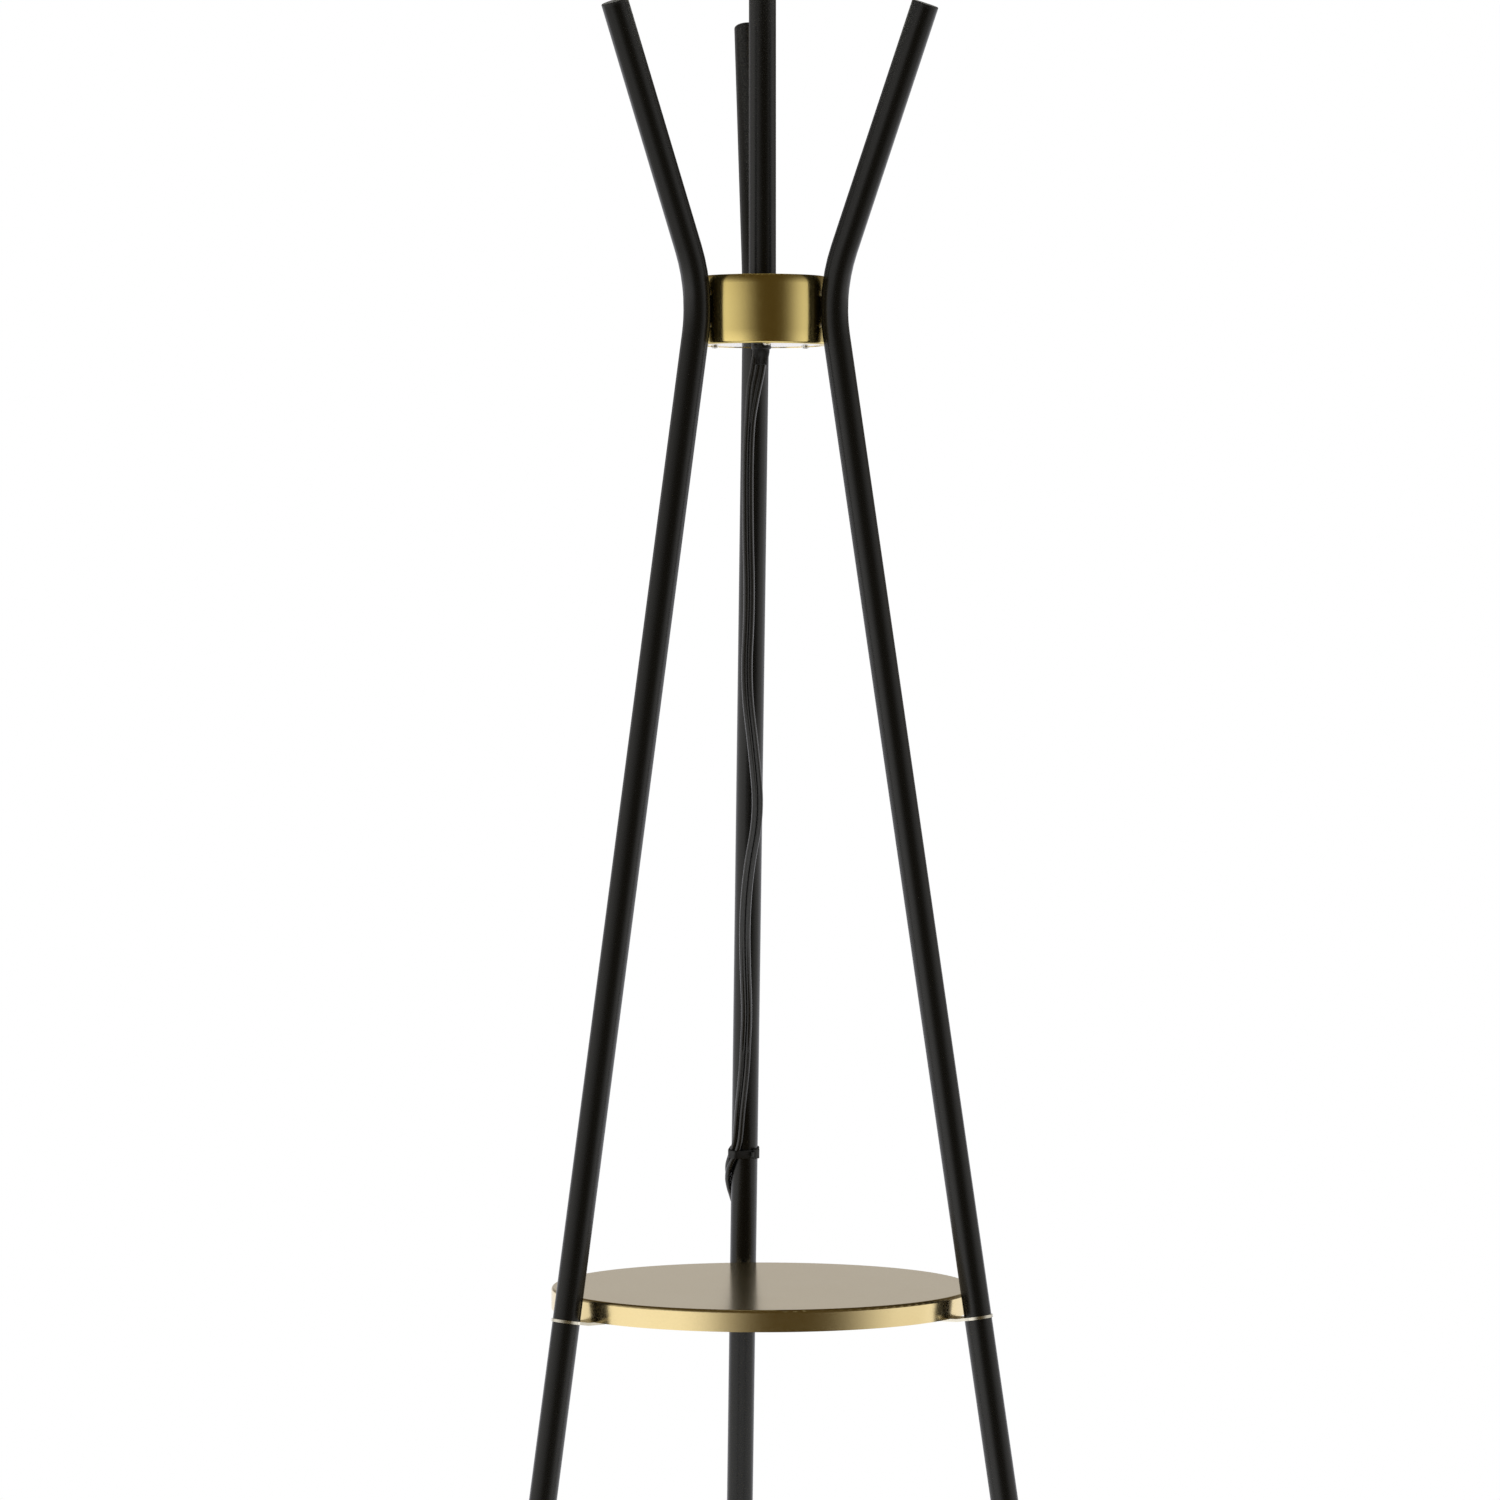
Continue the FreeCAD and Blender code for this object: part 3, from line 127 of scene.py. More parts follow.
def levelRamp(tree, value, stops, span):
    ramp = tree.nodes.new("ShaderNodeValToRGB")
    ramp.color_ramp.interpolation = "LINEAR"
    elements = ramp.color_ramp.elements
    while len(elements) < len(stops):
        elements.new(0.5)
    for element, (degrees, level) in zip(elements, stops):
        element.position = degrees / span + 0.5
        element.color = (level, level, level, 1)
    tree.links.new(value, ramp.inputs["Fac"])
    return ramp.outputs["Color"]


def buildWorld():
    world = bpy.data.worlds.new("studio")
    scene.world = world
    world.use_nodes = True
    tree = world.node_tree
    tree.nodes.clear()
    make, link = tree.nodes.new, tree.links.new
    coords = make("ShaderNodeTexCoord")

    def towards(direction):
        dot = make("ShaderNodeVectorMath")
        dot.operation = "DOT_PRODUCT"
        dot.inputs[1].default_value = direction
        link(coords.outputs["Generated"], dot.inputs[0])
        return dot.outputs["Value"]

    def combine(operation, first, second=None, third=None):
        node = make("ShaderNodeMath")
        node.operation = operation
        for socket, value in zip(node.inputs, (first, second, third)):
            if isinstance(value, (int, float)):
                socket.default_value = value
            elif value is not None:
                link(value, socket)
        return node.outputs[0]

    def mixed(operation, first, second):
        node = make("ShaderNodeVectorMath")
        node.operation = operation
        for socket, value in zip(node.inputs, (first, second)):
            if isinstance(value, tuple):
                socket.default_value = value
            else:
                link(value, socket)
        return node.outputs[0]

    azimuth = combine("ARCTAN2", towards(roundTheLamp(90, 1.0, 0.0)), towards(roundTheLamp(0, 1.0, 0.0)))
    azimuth = combine("MULTIPLY_ADD", azimuth, 0.5 / pi, 0.5)
    height = combine("ARCSINE", towards(zAxis))
    height = combine("MULTIPLY_ADD", height, 1 / pi, 0.5)
    above = combine("MULTIPLY_ADD", height, 36.0, -17.5)  # 0 at 2.5 degrees below the horizon, 1 as far above it
    above.node.use_clamp = True

    def allRound(below, overHorizon, heights):
        turned = make("ShaderNodeMix")
        turned.data_type = "RGBA"
        link(above, turned.inputs["Factor"])
        link(levelRamp(tree, azimuth, below, 360), turned.inputs["A"])
        link(levelRamp(tree, azimuth, overHorizon, 360), turned.inputs["B"])
        return mixed("MULTIPLY", turned.outputs["Result"], levelRamp(tree, height, heights, 180))

    sides = allRound(studio["sides"], studio["sidesAbove"], studio["sideHeights"])
    behind = allRound(studio["behind"], studio["behindAbove"], studio["behindHeights"])
    behind = mixed("MULTIPLY", behind, studio["backdrop"])
    reflected = mixed("ADD", mixed("ADD", sides, behind), studio["nearSide"])
    path = make("ShaderNodeLightPath")
    forGloss = make("ShaderNodeMix")
    forGloss.data_type = "RGBA"
    forGloss.inputs["A"].default_value = (studio["ambient"],) * 3 + (1,)
    link(path.outputs["Is Glossy Ray"], forGloss.inputs["Factor"])
    link(reflected, forGloss.inputs["B"])
    clear = combine("MAXIMUM", path.outputs["Is Camera Ray"], path.outputs["Is Transmission Ray"])
    colour = make("ShaderNodeMix")
    colour.data_type = "RGBA"
    colour.inputs["B"].default_value = (1, 1, 1, 1)
    link(clear, colour.inputs["Factor"])
    link(forGloss.outputs["Result"], colour.inputs["A"])
    background = make("ShaderNodeBackground")
    link(colour.outputs["Result"], background.inputs["Color"])
    output = make("ShaderNodeOutputWorld")
    link(background.outputs[0], output.inputs["Surface"])


buildWorld()
print("studio: camera, softboxes and world are set")

# Shader node groups
# Each group puts out masks and values. Lengths are in metres, on Object coordinates.


def newGroup(name, inputs, outputs):
    group = bpy.data.node_groups.new(name, "ShaderNodeTree")
    for label, kind, value in inputs:
        socket = group.interface.new_socket(label, in_out="INPUT", socket_type=kind)
        if value is not None:
            socket.default_value = value
    for label, kind in outputs:
        group.interface.new_socket(label, in_out="OUTPUT", socket_type=kind)
    source = group.nodes.new("NodeGroupInput")
    sink = group.nodes.new("NodeGroupOutput")
    return group, source, sink


def mathNode(tree, operation, first=None, second=None, third=None):
    node = tree.nodes.new("ShaderNodeMath")
    node.operation = operation
    for index, value in enumerate((first, second, third)):
        if value is None:
            continue
        if isinstance(value, (int, float)):
            node.inputs[index].default_value = value
        else:
            tree.links.new(value, node.inputs[index])
    return node.outputs[0]


def noiseNode(tree, vector, scale, detail=2.0, roughness=0.5):
    # scale is a number or a socket
    node = tree.nodes.new("ShaderNodeTexNoise")
    if isinstance(scale, (int, float)):
        node.inputs["Scale"].default_value = scale
    else:
        tree.links.new(scale, node.inputs["Scale"])
    node.inputs["Detail"].default_value = detail
    node.inputs["Roughness"].default_value = roughness
    tree.links.new(vector, node.inputs["Vector"])
    return node.outputs["Fac"]


def spread(tree, value, low, high):
    node = tree.nodes.new("ShaderNodeMapRange")
    node.inputs["From Min"].default_value = low
    node.inputs["From Max"].default_value = high
    tree.links.new(value, node.inputs["Value"])
    return node.outputs["Result"]


def buildOrangePeel():
    # the fine ripple and speckle of a sprayed or powder coat
    group, source, sink = newGroup(
        "orangePeel",
        [("Vector", "NodeSocketVector", None), ("Grain", "NodeSocketFloat", 900.0), ("Wave", "NodeSocketFloat", 160.0)],
        [("Height", "NodeSocketFloat"), ("Speckle", "NodeSocketFloat"), ("Patch", "NodeSocketFloat")],
    )
    vector = source.outputs["Vector"]
    fine = noiseNode(group, vector, source.outputs["Grain"], 3.0)
    wave = noiseNode(group, vector, source.outputs["Wave"], 1.0)
    patch = noiseNode(group, vector, 9.0, 2.0)
    height = mathNode(group, "MULTIPLY_ADD", fine, 0.3, mathNode(group, "MULTIPLY", wave, 0.7))
    group.links.new(height, sink.inputs["Height"])
    group.links.new(spread(group, fine, 0.35, 0.65), sink.inputs["Speckle"])
    group.links.new(spread(group, patch, 0.3, 0.7), sink.inputs["Patch"])
    return group


def buildBrush():
    # the fine even grain left by brushing, and slow clouds over it
    group, source, sink = newGroup(
        "brushLines",
        [("Vector", "NodeSocketVector", None), ("Scale", "NodeSocketFloat", 1500.0)],
        [("Lines", "NodeSocketFloat"), ("Cloud", "NodeSocketFloat")],
    )
    lines = noiseNode(group, source.outputs["Vector"], source.outputs["Scale"], 2.0, 0.6)
    cloud = noiseNode(group, source.outputs["Vector"], 22.0, 3.0)
    group.links.new(spread(group, lines, 0.3, 0.7), sink.inputs["Lines"])
    group.links.new(spread(group, cloud, 0.3, 0.7), sink.inputs["Cloud"])
    return group


def buildEdgeWear():
    # where an edge is rubbed: 1 on edges, broken up by noise
    group, source, sink = newGroup(
        "edgeWear",
        [
            ("Vector", "NodeSocketVector", None), ("Amount", "NodeSocketFloat", 0.5),
            ("Radius", "NodeSocketFloat", 0.0006),
        ],
        [("Mask", "NodeSocketFloat")],
    )
    bevel = group.nodes.new("ShaderNodeBevel")
    bevel.samples = 4
    group.links.new(source.outputs["Radius"], bevel.inputs["Radius"])
    geometry = group.nodes.new("ShaderNodeNewGeometry")
    dot = group.nodes.new("ShaderNodeVectorMath")
    dot.operation = "DOT_PRODUCT"
    group.links.new(bevel.outputs["Normal"], dot.inputs[0])
    group.links.new(geometry.outputs["Normal"], dot.inputs[1])
    edge = spread(group, dot.outputs["Value"], 0.995, 0.9)
    rough = spread(group, noiseNode(group, source.outputs["Vector"], 420.0, 3.0), 0.35, 0.7)
    mask = mathNode(group, "MULTIPLY", edge, rough)
    group.links.new(mathNode(group, "MULTIPLY", mask, source.outputs["Amount"]), sink.inputs["Mask"])
    return group


def buildDust():
    # a thin film on faces that look up
    group, source, sink = newGroup(
        "settledDust",
        [("Vector", "NodeSocketVector", None), ("Amount", "NodeSocketFloat", 0.1)],
        [("Mask", "NodeSocketFloat")],
    )
    geometry = group.nodes.new("ShaderNodeNewGeometry")
    split = group.nodes.new("ShaderNodeSeparateXYZ")
    group.links.new(geometry.outputs["Normal"], split.inputs[0])
    up = spread(group, split.outputs["Z"], 0.5, 1.0)
    cloud = spread(group, noiseNode(group, source.outputs["Vector"], 60.0, 4.0), 0.4, 0.75)
    mask = mathNode(group, "MULTIPLY", up, cloud)
    group.links.new(mathNode(group, "MULTIPLY", mask, source.outputs["Amount"]), sink.inputs["Mask"])
    return group


def buildWeave():
    # plain weave on a UV map laid out in metres: Pitch is one thread's spacing
    group, source, sink = newGroup(
        "plainWeave",
        [("UV", "NodeSocketVector", None), ("Pitch", "NodeSocketFloat", 0.0009), ("Slub", "NodeSocketFloat", 0.35)],
        [("Height", "NodeSocketFloat"), ("Thread", "NodeSocketFloat"), ("Slubs", "NodeSocketFloat")],
    )
    split = group.nodes.new("ShaderNodeSeparateXYZ")
    group.links.new(source.outputs["UV"], split.inputs[0])
    turns = mathNode(group, "DIVIDE", pi, source.outputs["Pitch"])
    across = mathNode(group, "MULTIPLY", split.outputs["X"], turns)
    upward = mathNode(group, "MULTIPLY", split.outputs["Y"], turns)
    sinAcross = mathNode(group, "SINE", across)
    sinUp = mathNode(group, "SINE", upward)
    over = mathNode(group, "MULTIPLY", sinAcross, sinUp)
    warp = mathNode(group, "ABSOLUTE", sinAcross)
    weft = mathNode(group, "ABSOLUTE", sinUp)
    side = mathNode(group, "GREATER_THAN", over, 0.0)
    blend = group.nodes.new("ShaderNodeMix")
    group.links.new(side, blend.inputs["Factor"])
    group.links.new(warp, blend.inputs["A"])
    group.links.new(weft, blend.inputs["B"])

    def slubNoise(stretch):
        stretched = group.nodes.new("ShaderNodeVectorMath")
        stretched.operation = "MULTIPLY"
        stretched.inputs[1].default_value = stretch
        group.links.new(source.outputs["UV"], stretched.inputs[0])
        return noiseNode(group, stretched.outputs[0], 1.0, 1.0)

    thick = mathNode(group, "MAXIMUM", slubNoise((900.0, 22.0, 1.0)), slubNoise((22.0, 900.0, 1.0)))
    slubs = spread(group, thick, 0.45, 0.8)
    height = mathNode(group, "MULTIPLY_ADD", slubs, source.outputs["Slub"], blend.outputs["Result"])
    group.links.new(height, sink.inputs["Height"])
    group.links.new(side, sink.inputs["Thread"])
    group.links.new(slubs, sink.inputs["Slubs"])
    return group


orangePeel = buildOrangePeel()
brushLines = buildBrush()
edgeWear = buildEdgeWear()
settledDust = buildDust()
plainWeave = buildWeave()


class Finish:
    # one material with its Principled shader, Object coordinates and helpers to feed it
    def __init__(self, name, colour, roughness, metallic=0.0, **sockets):
        self.material = bpy.data.materials.new(name)
        self.material.use_nodes = True
        self.tree = self.material.node_tree
        self.shader = self.tree.nodes["Principled BSDF"]
        self.shader.inputs["Base Color"].default_value = (*colour, 1)
        self.shader.inputs["Roughness"].default_value = roughness
        self.shader.inputs["Metallic"].default_value = metallic
        for label, value in sockets.items():
            self.shader.inputs[label.replace("_", " ")].default_value = value
        coords = self.tree.nodes.new("ShaderNodeTexCoord")
        self.place = coords.outputs["Object"]
        self.uv = coords.outputs["UV"]

    def use(self, group, vector=None, **values):
        node = self.tree.nodes.new("ShaderNodeGroup")
        node.node_tree = group
        self.tree.links.new(vector or self.place, node.inputs[0])
        for label, value in values.items():
            node.inputs[label].default_value = value
        return node

    def mixColour(self, mask, base, other):
        mix = self.tree.nodes.new("ShaderNodeMix")
        mix.data_type = "RGBA"
        for label, value in (("A", base), ("B", other)):
            if isinstance(value, tuple):
                mix.inputs[label].default_value = (*value, 1)
            else:
                self.tree.links.new(value, mix.inputs[label])
        self.tree.links.new(mask, mix.inputs["Factor"])
        return mix.outputs["Result"]

    def between(self, mask, low, high):
        node = self.tree.nodes.new("ShaderNodeMapRange")
        node.inputs["To Min"].default_value = low
        node.inputs["To Max"].default_value = high
        self.tree.links.new(mask, node.inputs["Value"])
        return node.outputs["Result"]

    def feed(self, label, value):
        self.tree.links.new(value, self.shader.inputs[label])

    def bump(self, height, strength, distance):
        node = self.tree.nodes.new("ShaderNodeBump")
        node.inputs["Strength"].default_value = strength
        node.inputs["Distance"].default_value = distance
        self.tree.links.new(height, node.inputs["Height"])
        self.feed("Normal", node.outputs["Normal"])


def blackCoat():
    look = Finish("blackPowderCoat", (0.0034, 0.0034, 0.0032), 0.28, Specular_IOR_Level=0.5)
    peel = look.use(orangePeel, Grain=1400.0, Wave=260.0)
    wear = look.use(edgeWear, Amount=0.35, Radius=0.0005)
    colour = look.mixColour(peel.outputs["Patch"], (0.0031, 0.0031, 0.0029), (0.0040, 0.0040, 0.0037))
    colour = look.mixColour(wear.outputs["Mask"], colour, (0.022, 0.021, 0.020))
    look.feed("Base Color", colour)
    look.feed("Roughness", look.between(peel.outputs["Speckle"], 0.25, 0.31))
    look.bump(peel.outputs["Height"], 0.18, 0.00006)
    return look.material


def satinBrass(name, tones):
    look = Finish(name, tones[0], 0.21, 1.0)
    lines = look.use(brushLines, Scale=900.0)
    wear = look.use(edgeWear, Amount=0.4, Radius=0.0007)
    colour = look.mixColour(lines.outputs["Cloud"], tones[0], tones[1])
    colour = look.mixColour(wear.outputs["Mask"], colour, (0.94, 0.82, 0.50))
    look.feed("Base Color", colour)
    look.feed("Roughness", look.between(lines.outputs["Lines"], 0.17, 0.23))
    look.bump(lines.outputs["Lines"], 0.03, 0.00002)
    return look.material


def moulded(name, colour, roughness, speck=0.15, grain=2200.0):
    look = Finish(name, colour, roughness)
    peel = look.use(orangePeel, Grain=grain, Wave=420.0)
    wear = look.use(edgeWear, Amount=0.3, Radius=0.0004)
    lighter = tuple(min(1.0, c * 1.35 + 0.001) for c in colour)
    rubbed = tuple(min(1.0, c * 1.6 + 0.006) for c in colour)
    mixed = look.mixColour(peel.outputs["Patch"], colour, lighter)
    look.feed("Base Color", look.mixColour(wear.outputs["Mask"], mixed, rubbed))
    look.feed("Roughness", look.between(peel.outputs["Speckle"], roughness - 0.05, roughness + 0.07))
    look.bump(peel.outputs["Height"], speck, 0.00006)
    return look.material


def plainMetal(name, colour, roughness):
    look = Finish(name, colour, roughness, 1.0)
    lines = look.use(brushLines, Scale=2400.0)
    wear = look.use(edgeWear, Amount=0.4, Radius=0.0003)
    darker = tuple(c * 0.86 for c in colour)
    brighter = tuple(min(1.0, c * 1.15) for c in colour)
    mixed = look.mixColour(lines.outputs["Cloud"], darker, colour)
    look.feed("Base Color", look.mixColour(wear.outputs["Mask"], mixed, brighter))
    look.feed("Roughness", look.between(lines.outputs["Lines"], roughness - 0.06, roughness + 0.08))
    look.bump(lines.outputs["Lines"], 0.08, 0.00004)
    return look.material


def cordSheath():
    look = Finish("cordSheath", (0.006, 0.006, 0.006), 0.22, Specular_IOR_Level=0.8)
    peel = look.use(orangePeel, Grain=2600.0, Wave=420.0)
    dust = look.use(settledDust, Amount=0.10)
    colour = look.mixColour(peel.outputs["Patch"], (0.0050, 0.0050, 0.0050), (0.0075, 0.0074, 0.0070))
    look.feed("Base Color", look.mixColour(dust.outputs["Mask"], colour, (0.05, 0.048, 0.045)))
    look.feed("Roughness", look.between(peel.outputs["Speckle"], 0.17, 0.24))
    look.bump(peel.outputs["Height"], 0.08, 0.00004)
    return look.material


clothTones = {  # light and dark threads
    "shadeLinen": ((0.82, 0.78, 0.68), (0.64, 0.59, 0.49)),
    "shadeLiner": ((0.84, 0.83, 0.79), (0.76, 0.75, 0.70)),
}


def shadeFabric(name):
    look = Finish(name, (0.80, 0.76, 0.66), 0.85, Sheen_Weight=0.25, Sheen_Roughness=0.4)
    weave = look.use(plainWeave, look.uv, Pitch=0.0008, Slub=0.5)
    light, dark = clothTones[name]
    warp = look.mixColour(weave.outputs["Thread"], dark, light)
    look.feed("Base Color", look.mixColour(weave.outputs["Slubs"], warp, light))
    look.feed("Roughness", look.between(weave.outputs["Height"], 0.92, 0.78))
    look.bump(weave.outputs["Height"], 0.5, 0.00022)
    return look.material


def frostedGlass():
    look = Finish(
        "frostedGlass", (0.93, 0.93, 0.91), 0.42, Subsurface_Weight=0.2, Coat_Weight=0.25, Coat_Roughness=0.12
    )
    peel = look.use(orangePeel, Grain=3000.0, Wave=300.0)
    look.feed("Base Color", look.mixColour(peel.outputs["Patch"], (0.90, 0.90, 0.88), (0.94, 0.94, 0.92)))
    look.feed("Roughness", look.between(peel.outputs["Speckle"], 0.36, 0.5))
    look.bump(peel.outputs["Height"], 0.05, 0.00003)
    return look.material


finishes = {
    "black_coat": blackCoat(),
    "satin_brass": satinBrass("satinBrass", ((0.895, 0.728, 0.385), (0.915, 0.754, 0.415))),
    "black_plastic": moulded("blackPlastic", (0.0055, 0.0055, 0.0053), 0.36),
    "foot_rubber": moulded("footRubber", (0.014, 0.014, 0.014), 0.62, 0.3),
    "zinc_steel": plainMetal("zincSteel", (0.62, 0.62, 0.60), 0.34),
    "liner_card": moulded("linerCard", (0.42, 0.33, 0.20), 0.75, 0.3, 1500.0),
    "black_phenolic": moulded("blackPhenolic", (0.013, 0.011, 0.010), 0.28),
    "brass_contact": plainMetal("contactBrass", (0.82, 0.66, 0.36), 0.30),
    "bulb_metal": plainMetal("bulbCapMetal", (0.72, 0.72, 0.70), 0.30),
    "frosted_glass": frostedGlass(),
    "shade_fabric": shadeFabric("shadeLinen"),
    "shade_liner": shadeFabric("shadeLiner"),
    "relief_rubber": moulded("reliefRubber", (0.0055, 0.0055, 0.0055), 0.42, 0.1),
    "cord_sheath": cordSheath(),
    "plug_brass": plainMetal("plugBrass", (0.80, 0.66, 0.40), 0.26),
    # painted shade: the collar's brass is a deeper, more saturated copy of the satin brass, for its dimmer light
    "collar_brass": satinBrass("collarBrassShaded", ((0.895, 0.710, 0.265), (0.915, 0.735, 0.290))),
    "cover_brass": plainMetal("coverBrass", (0.96, 0.93, 0.86), 0.14),
    # painted highlight: a near-white copy of the brass, so the shelf tabs read as a bright cream line
    "tab_brass": plainMetal("tabBrassHighlight", (0.99, 0.95, 0.82), 0.24),
}
print("finishes: %d materials" % len(finishes))

# Helpers for pieces


def addPiece(name, shape, slot, body, replaced=(), sharpAngle=32.0, material=None):
    mesh = bpy.data.meshes.new(name)
    for face in shape.faces:
        face.smooth = True
    for edge in shape.edges:
        if len(edge.link_faces) == 2:
            edge.smooth = edge.calc_face_angle(0.0) < math.radians(sharpAngle)
    shape.to_mesh(mesh)
    shape.free()
    piece = bpy.data.objects.new(name, mesh)
    scene.collection.objects.link(piece)
    mesh.materials.append(material or finishes[slot])
    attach(piece, body)
    if replaced:
        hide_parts(*replaced)
    return piece


def spunShape(profile, steps=128):
    # profile is a closed list of (radius, height), spun about Z
    shape = bmesh.new()
    verts = [shape.verts.new((radius, 0.0, height)) for radius, height in profile]
    edges = [shape.edges.new(pair) for pair in zip(verts, verts[1:] + verts[:1])]
    bmesh.ops.spin(
        shape, geom=verts + edges, cent=origin, axis=zAxis, angle=2 * pi, steps=steps, use_merge=True,
        use_duplicate=False,
    )
    bmesh.ops.remove_doubles(shape, verts=shape.verts, dist=1e-6)
    bmesh.ops.recalc_face_normals(shape, faces=shape.faces)
    return shape


def arcPoints(centre, radius, start, end, count):
    # points on a circle in the (radius, height) plane, from one angle to another in degrees
    points = []
    for k in range(count + 1):
        a = math.radians(start + (end - start) * k / count)
        points.append((centre[0] + radius * math.cos(a), centre[1] + radius * math.sin(a)))
    return points


def pushRing(shape, edges, ring):
    # extrudes a closed ring once: the new edges, and the new verts in the old ones' order
    pushed = bmesh.ops.extrude_edge_only(shape, edges=edges)["geom"]
    fresh = {g for g in pushed if isinstance(g, bmesh.types.BMVert)}
    newEdges = [g for g in pushed if isinstance(g, bmesh.types.BMEdge) and all(v in fresh for v in g.verts)]
    follow = {}
    for vert in fresh:
        for edge in vert.link_edges:
            if edge.other_vert(vert) not in fresh:
                follow[edge.other_vert(vert)] = vert
    return newEdges, [follow[v] for v in ring]


def smoothStep(low, high, value):
    t = min(1.0, max(0.0, (value - low) / (high - low)))
    return t * t * (3 - 2 * t)


# Rear leg below the collar, which the cord follows
legSizes = {
    "radius": 0.0095,
    "jointHeight": 0.46584,  # where the leg's halves meet
    "jointY": 0.16423,
    "slope": 0.15838,  # outwards, per length downwards
    "lean": 9.0,  # the same in degrees
}


def legAxisY(height):
    return legSizes["jointY"] + (legSizes["jointHeight"] - height) * legSizes["slope"]


# Cord
# The route repeats the part's own points, in metres, moved a little to follow the photograph.
cordSizes = {
    "lobe": 0.0042,  # one core with its sheath
    "lobePoints": 12,
    "lobeArc": 156,  # degrees to each side that show of a core
    "halfPitch": 0.0019,
    "splitPitch": 0.0033,  # the two cores stand apart where they leave the collar
    "splitHeights": (1.082, 1.116),
    "wrapHeights": (0.665, 0.63),  # over these the flat side turns to the leg
    "layHeights": (0.06, 0.008),  # and over these to the floor
    "floorHeight": 0.012,
    "smoothing": 6,
    "length": 2.60,
    "coilCentre": (0.064, 0.372),
    "coilRadius": 0.054,
    "coilPitch": 0.0088,
    "coilTurns": 4.5,
    "coilLead": 0.036,
    "lowLayer": 0.0030,
    "layerStep": 0.0044,
    "turnPoints": 16,
}
freeRun = [
    (0.0, 0.0, 1.1490),
    (-0.0026, 0.0, 1.1240),
    (-0.0064, 0.0012, 1.1080),
    (-0.0098, 0.0045, 1.0740),
    (-0.0095, 0.0105, 1.0150),
    (-0.0070, 0.0220, 0.9580),
    (-0.0090, 0.0350, 0.9030),
    (-0.0015, 0.0500, 0.8520),
    (0.0032, 0.0630, 0.8100),
    (-0.0035, 0.0770, 0.7680),
    (-0.0052, 0.0890, 0.7290),
    (-0.0034, 0.1020, 0.6940),
    (-0.0012, 0.1140, 0.6640),
    (-0.0014, 0.1246, 0.6410),
    (-0.0018, 0.1271, 0.6260),
    (-0.0029, 0.1296, 0.6110),
    (-0.0039, 0.1317, 0.6000),
    (-0.0048, 0.1338, 0.5890),
    (-0.0054, 0.1358, 0.5780),
    (-0.0061, 0.1376, 0.5690),
    (-0.0077, 0.1397, 0.5620),
    (-0.0103, 0.1435, 0.5555),
    (-0.0120, 0.1491, 0.5490),
    (-0.0117, 0.1551, 0.5425),
    (-0.0097, 0.1606, 0.5355),
    (-0.0062, 0.1650, 0.5270),
    (-0.0029, 0.1680, 0.5160),
    (-0.0008, 0.1706, 0.5010),
    (0.0004, 0.1740, 0.4840),
    (0.0010, 0.1786, 0.4640),
    (-0.0010, 0.1866, 0.4020),
    (0.0010, 0.1978, 0.3310),
    (-0.0010, 0.2100, 0.2550),
    (0.0012, 0.2218, 0.1800),
    (0.0004, 0.2330, 0.1100),
    (0.0010, 0.2432, 0.0500),
    (0.0030, 0.2680, 0.0110),
    (0.0054, 0.2990, 0.0030),
]
plugRun = [(0.118, 0.350, 0.0074), (0.119, 0.326, 0.0080), (0.122, 0.302, 0.0090), (0.122, 0.284, 0.0091)]


def coilPoint(turns):
    # the coil winds inwards on the floor, climbs one layer in its middle and winds out again
    middle = cordSizes["coilTurns"] / 2
    radius = cordSizes["coilRadius"] - cordSizes["coilPitch"] * (middle - abs(turns - middle))
    angle = 2 * pi * turns
    climb = smoothStep(middle - 0.25, middle + 0.25, turns)
    return (
        cordSizes["coilCentre"][0] - radius * math.cos(angle),
        cordSizes["coilCentre"][1] + radius * math.sin(angle),
        cordSizes["lowLayer"] + cordSizes["layerStep"] * climb,
    )


def cordRoute():
    start = coilPoint(0.0)
    steps = int(cordSizes["coilTurns"] * cordSizes["turnPoints"])
    coil = [coilPoint(cordSizes["coilTurns"] * k / steps) for k in range(steps + 1)]
    return freeRun + [(start[0], start[1] - cordSizes["coilLead"], cordSizes["lowLayer"])] + coil + plugRun


def splineCurve(name, points, resolution):
    curve = bpy.data.curves.new(name, "CURVE")
    curve.dimensions = "3D"
    curve.resolution_u = resolution
    spline = curve.splines.new("NURBS")
    spline.points.add(len(points) - 1)
    for place, point in zip(spline.points, points):
        place.co = (*point, 1.0)
    spline.order_u = 3
    spline.use_endpoint_u = True
    return curve


def followSpline(curve):
    # the points of the spline's own line, in order
    holder = bpy.data.objects.new("routeHolder", curve)
    scene.collection.objects.link(holder)
    depsgraph = bpy.context.evaluated_depsgraph_get()
    line = bpy.data.meshes.new_from_object(holder.evaluated_get(depsgraph))
    points = [v.co.copy() for v in line.vertices]
    bpy.data.objects.remove(holder)
    bpy.data.meshes.remove(line)
    kept = [points[0]]
    for point in points[1:]:
        if (point - kept[-1]).length > 0.0004:
            kept.append(point)
    return kept


def flatFacing(point, onFloor):
    # which way the cord's flat side looks, before it is squared to the line
    if onFloor:
        return zAxis
    towardsCamera = Vector((0.12, -1, 0))
    fromLeg = Vector((point.x, point.y - legAxisY(point.z), 0)).normalized()
    facing = towardsCamera.lerp(fromLeg, smoothStep(*cordSizes["wrapHeights"], point.z))
    return facing.lerp(Vector((0, 0.05, 1)), smoothStep(*cordSizes["layHeights"], point.z))


def squaredFrame(along, facing):
    normal = (facing - along * facing.dot(along)).normalized()
    return along, normal, along.cross(normal).normalized()


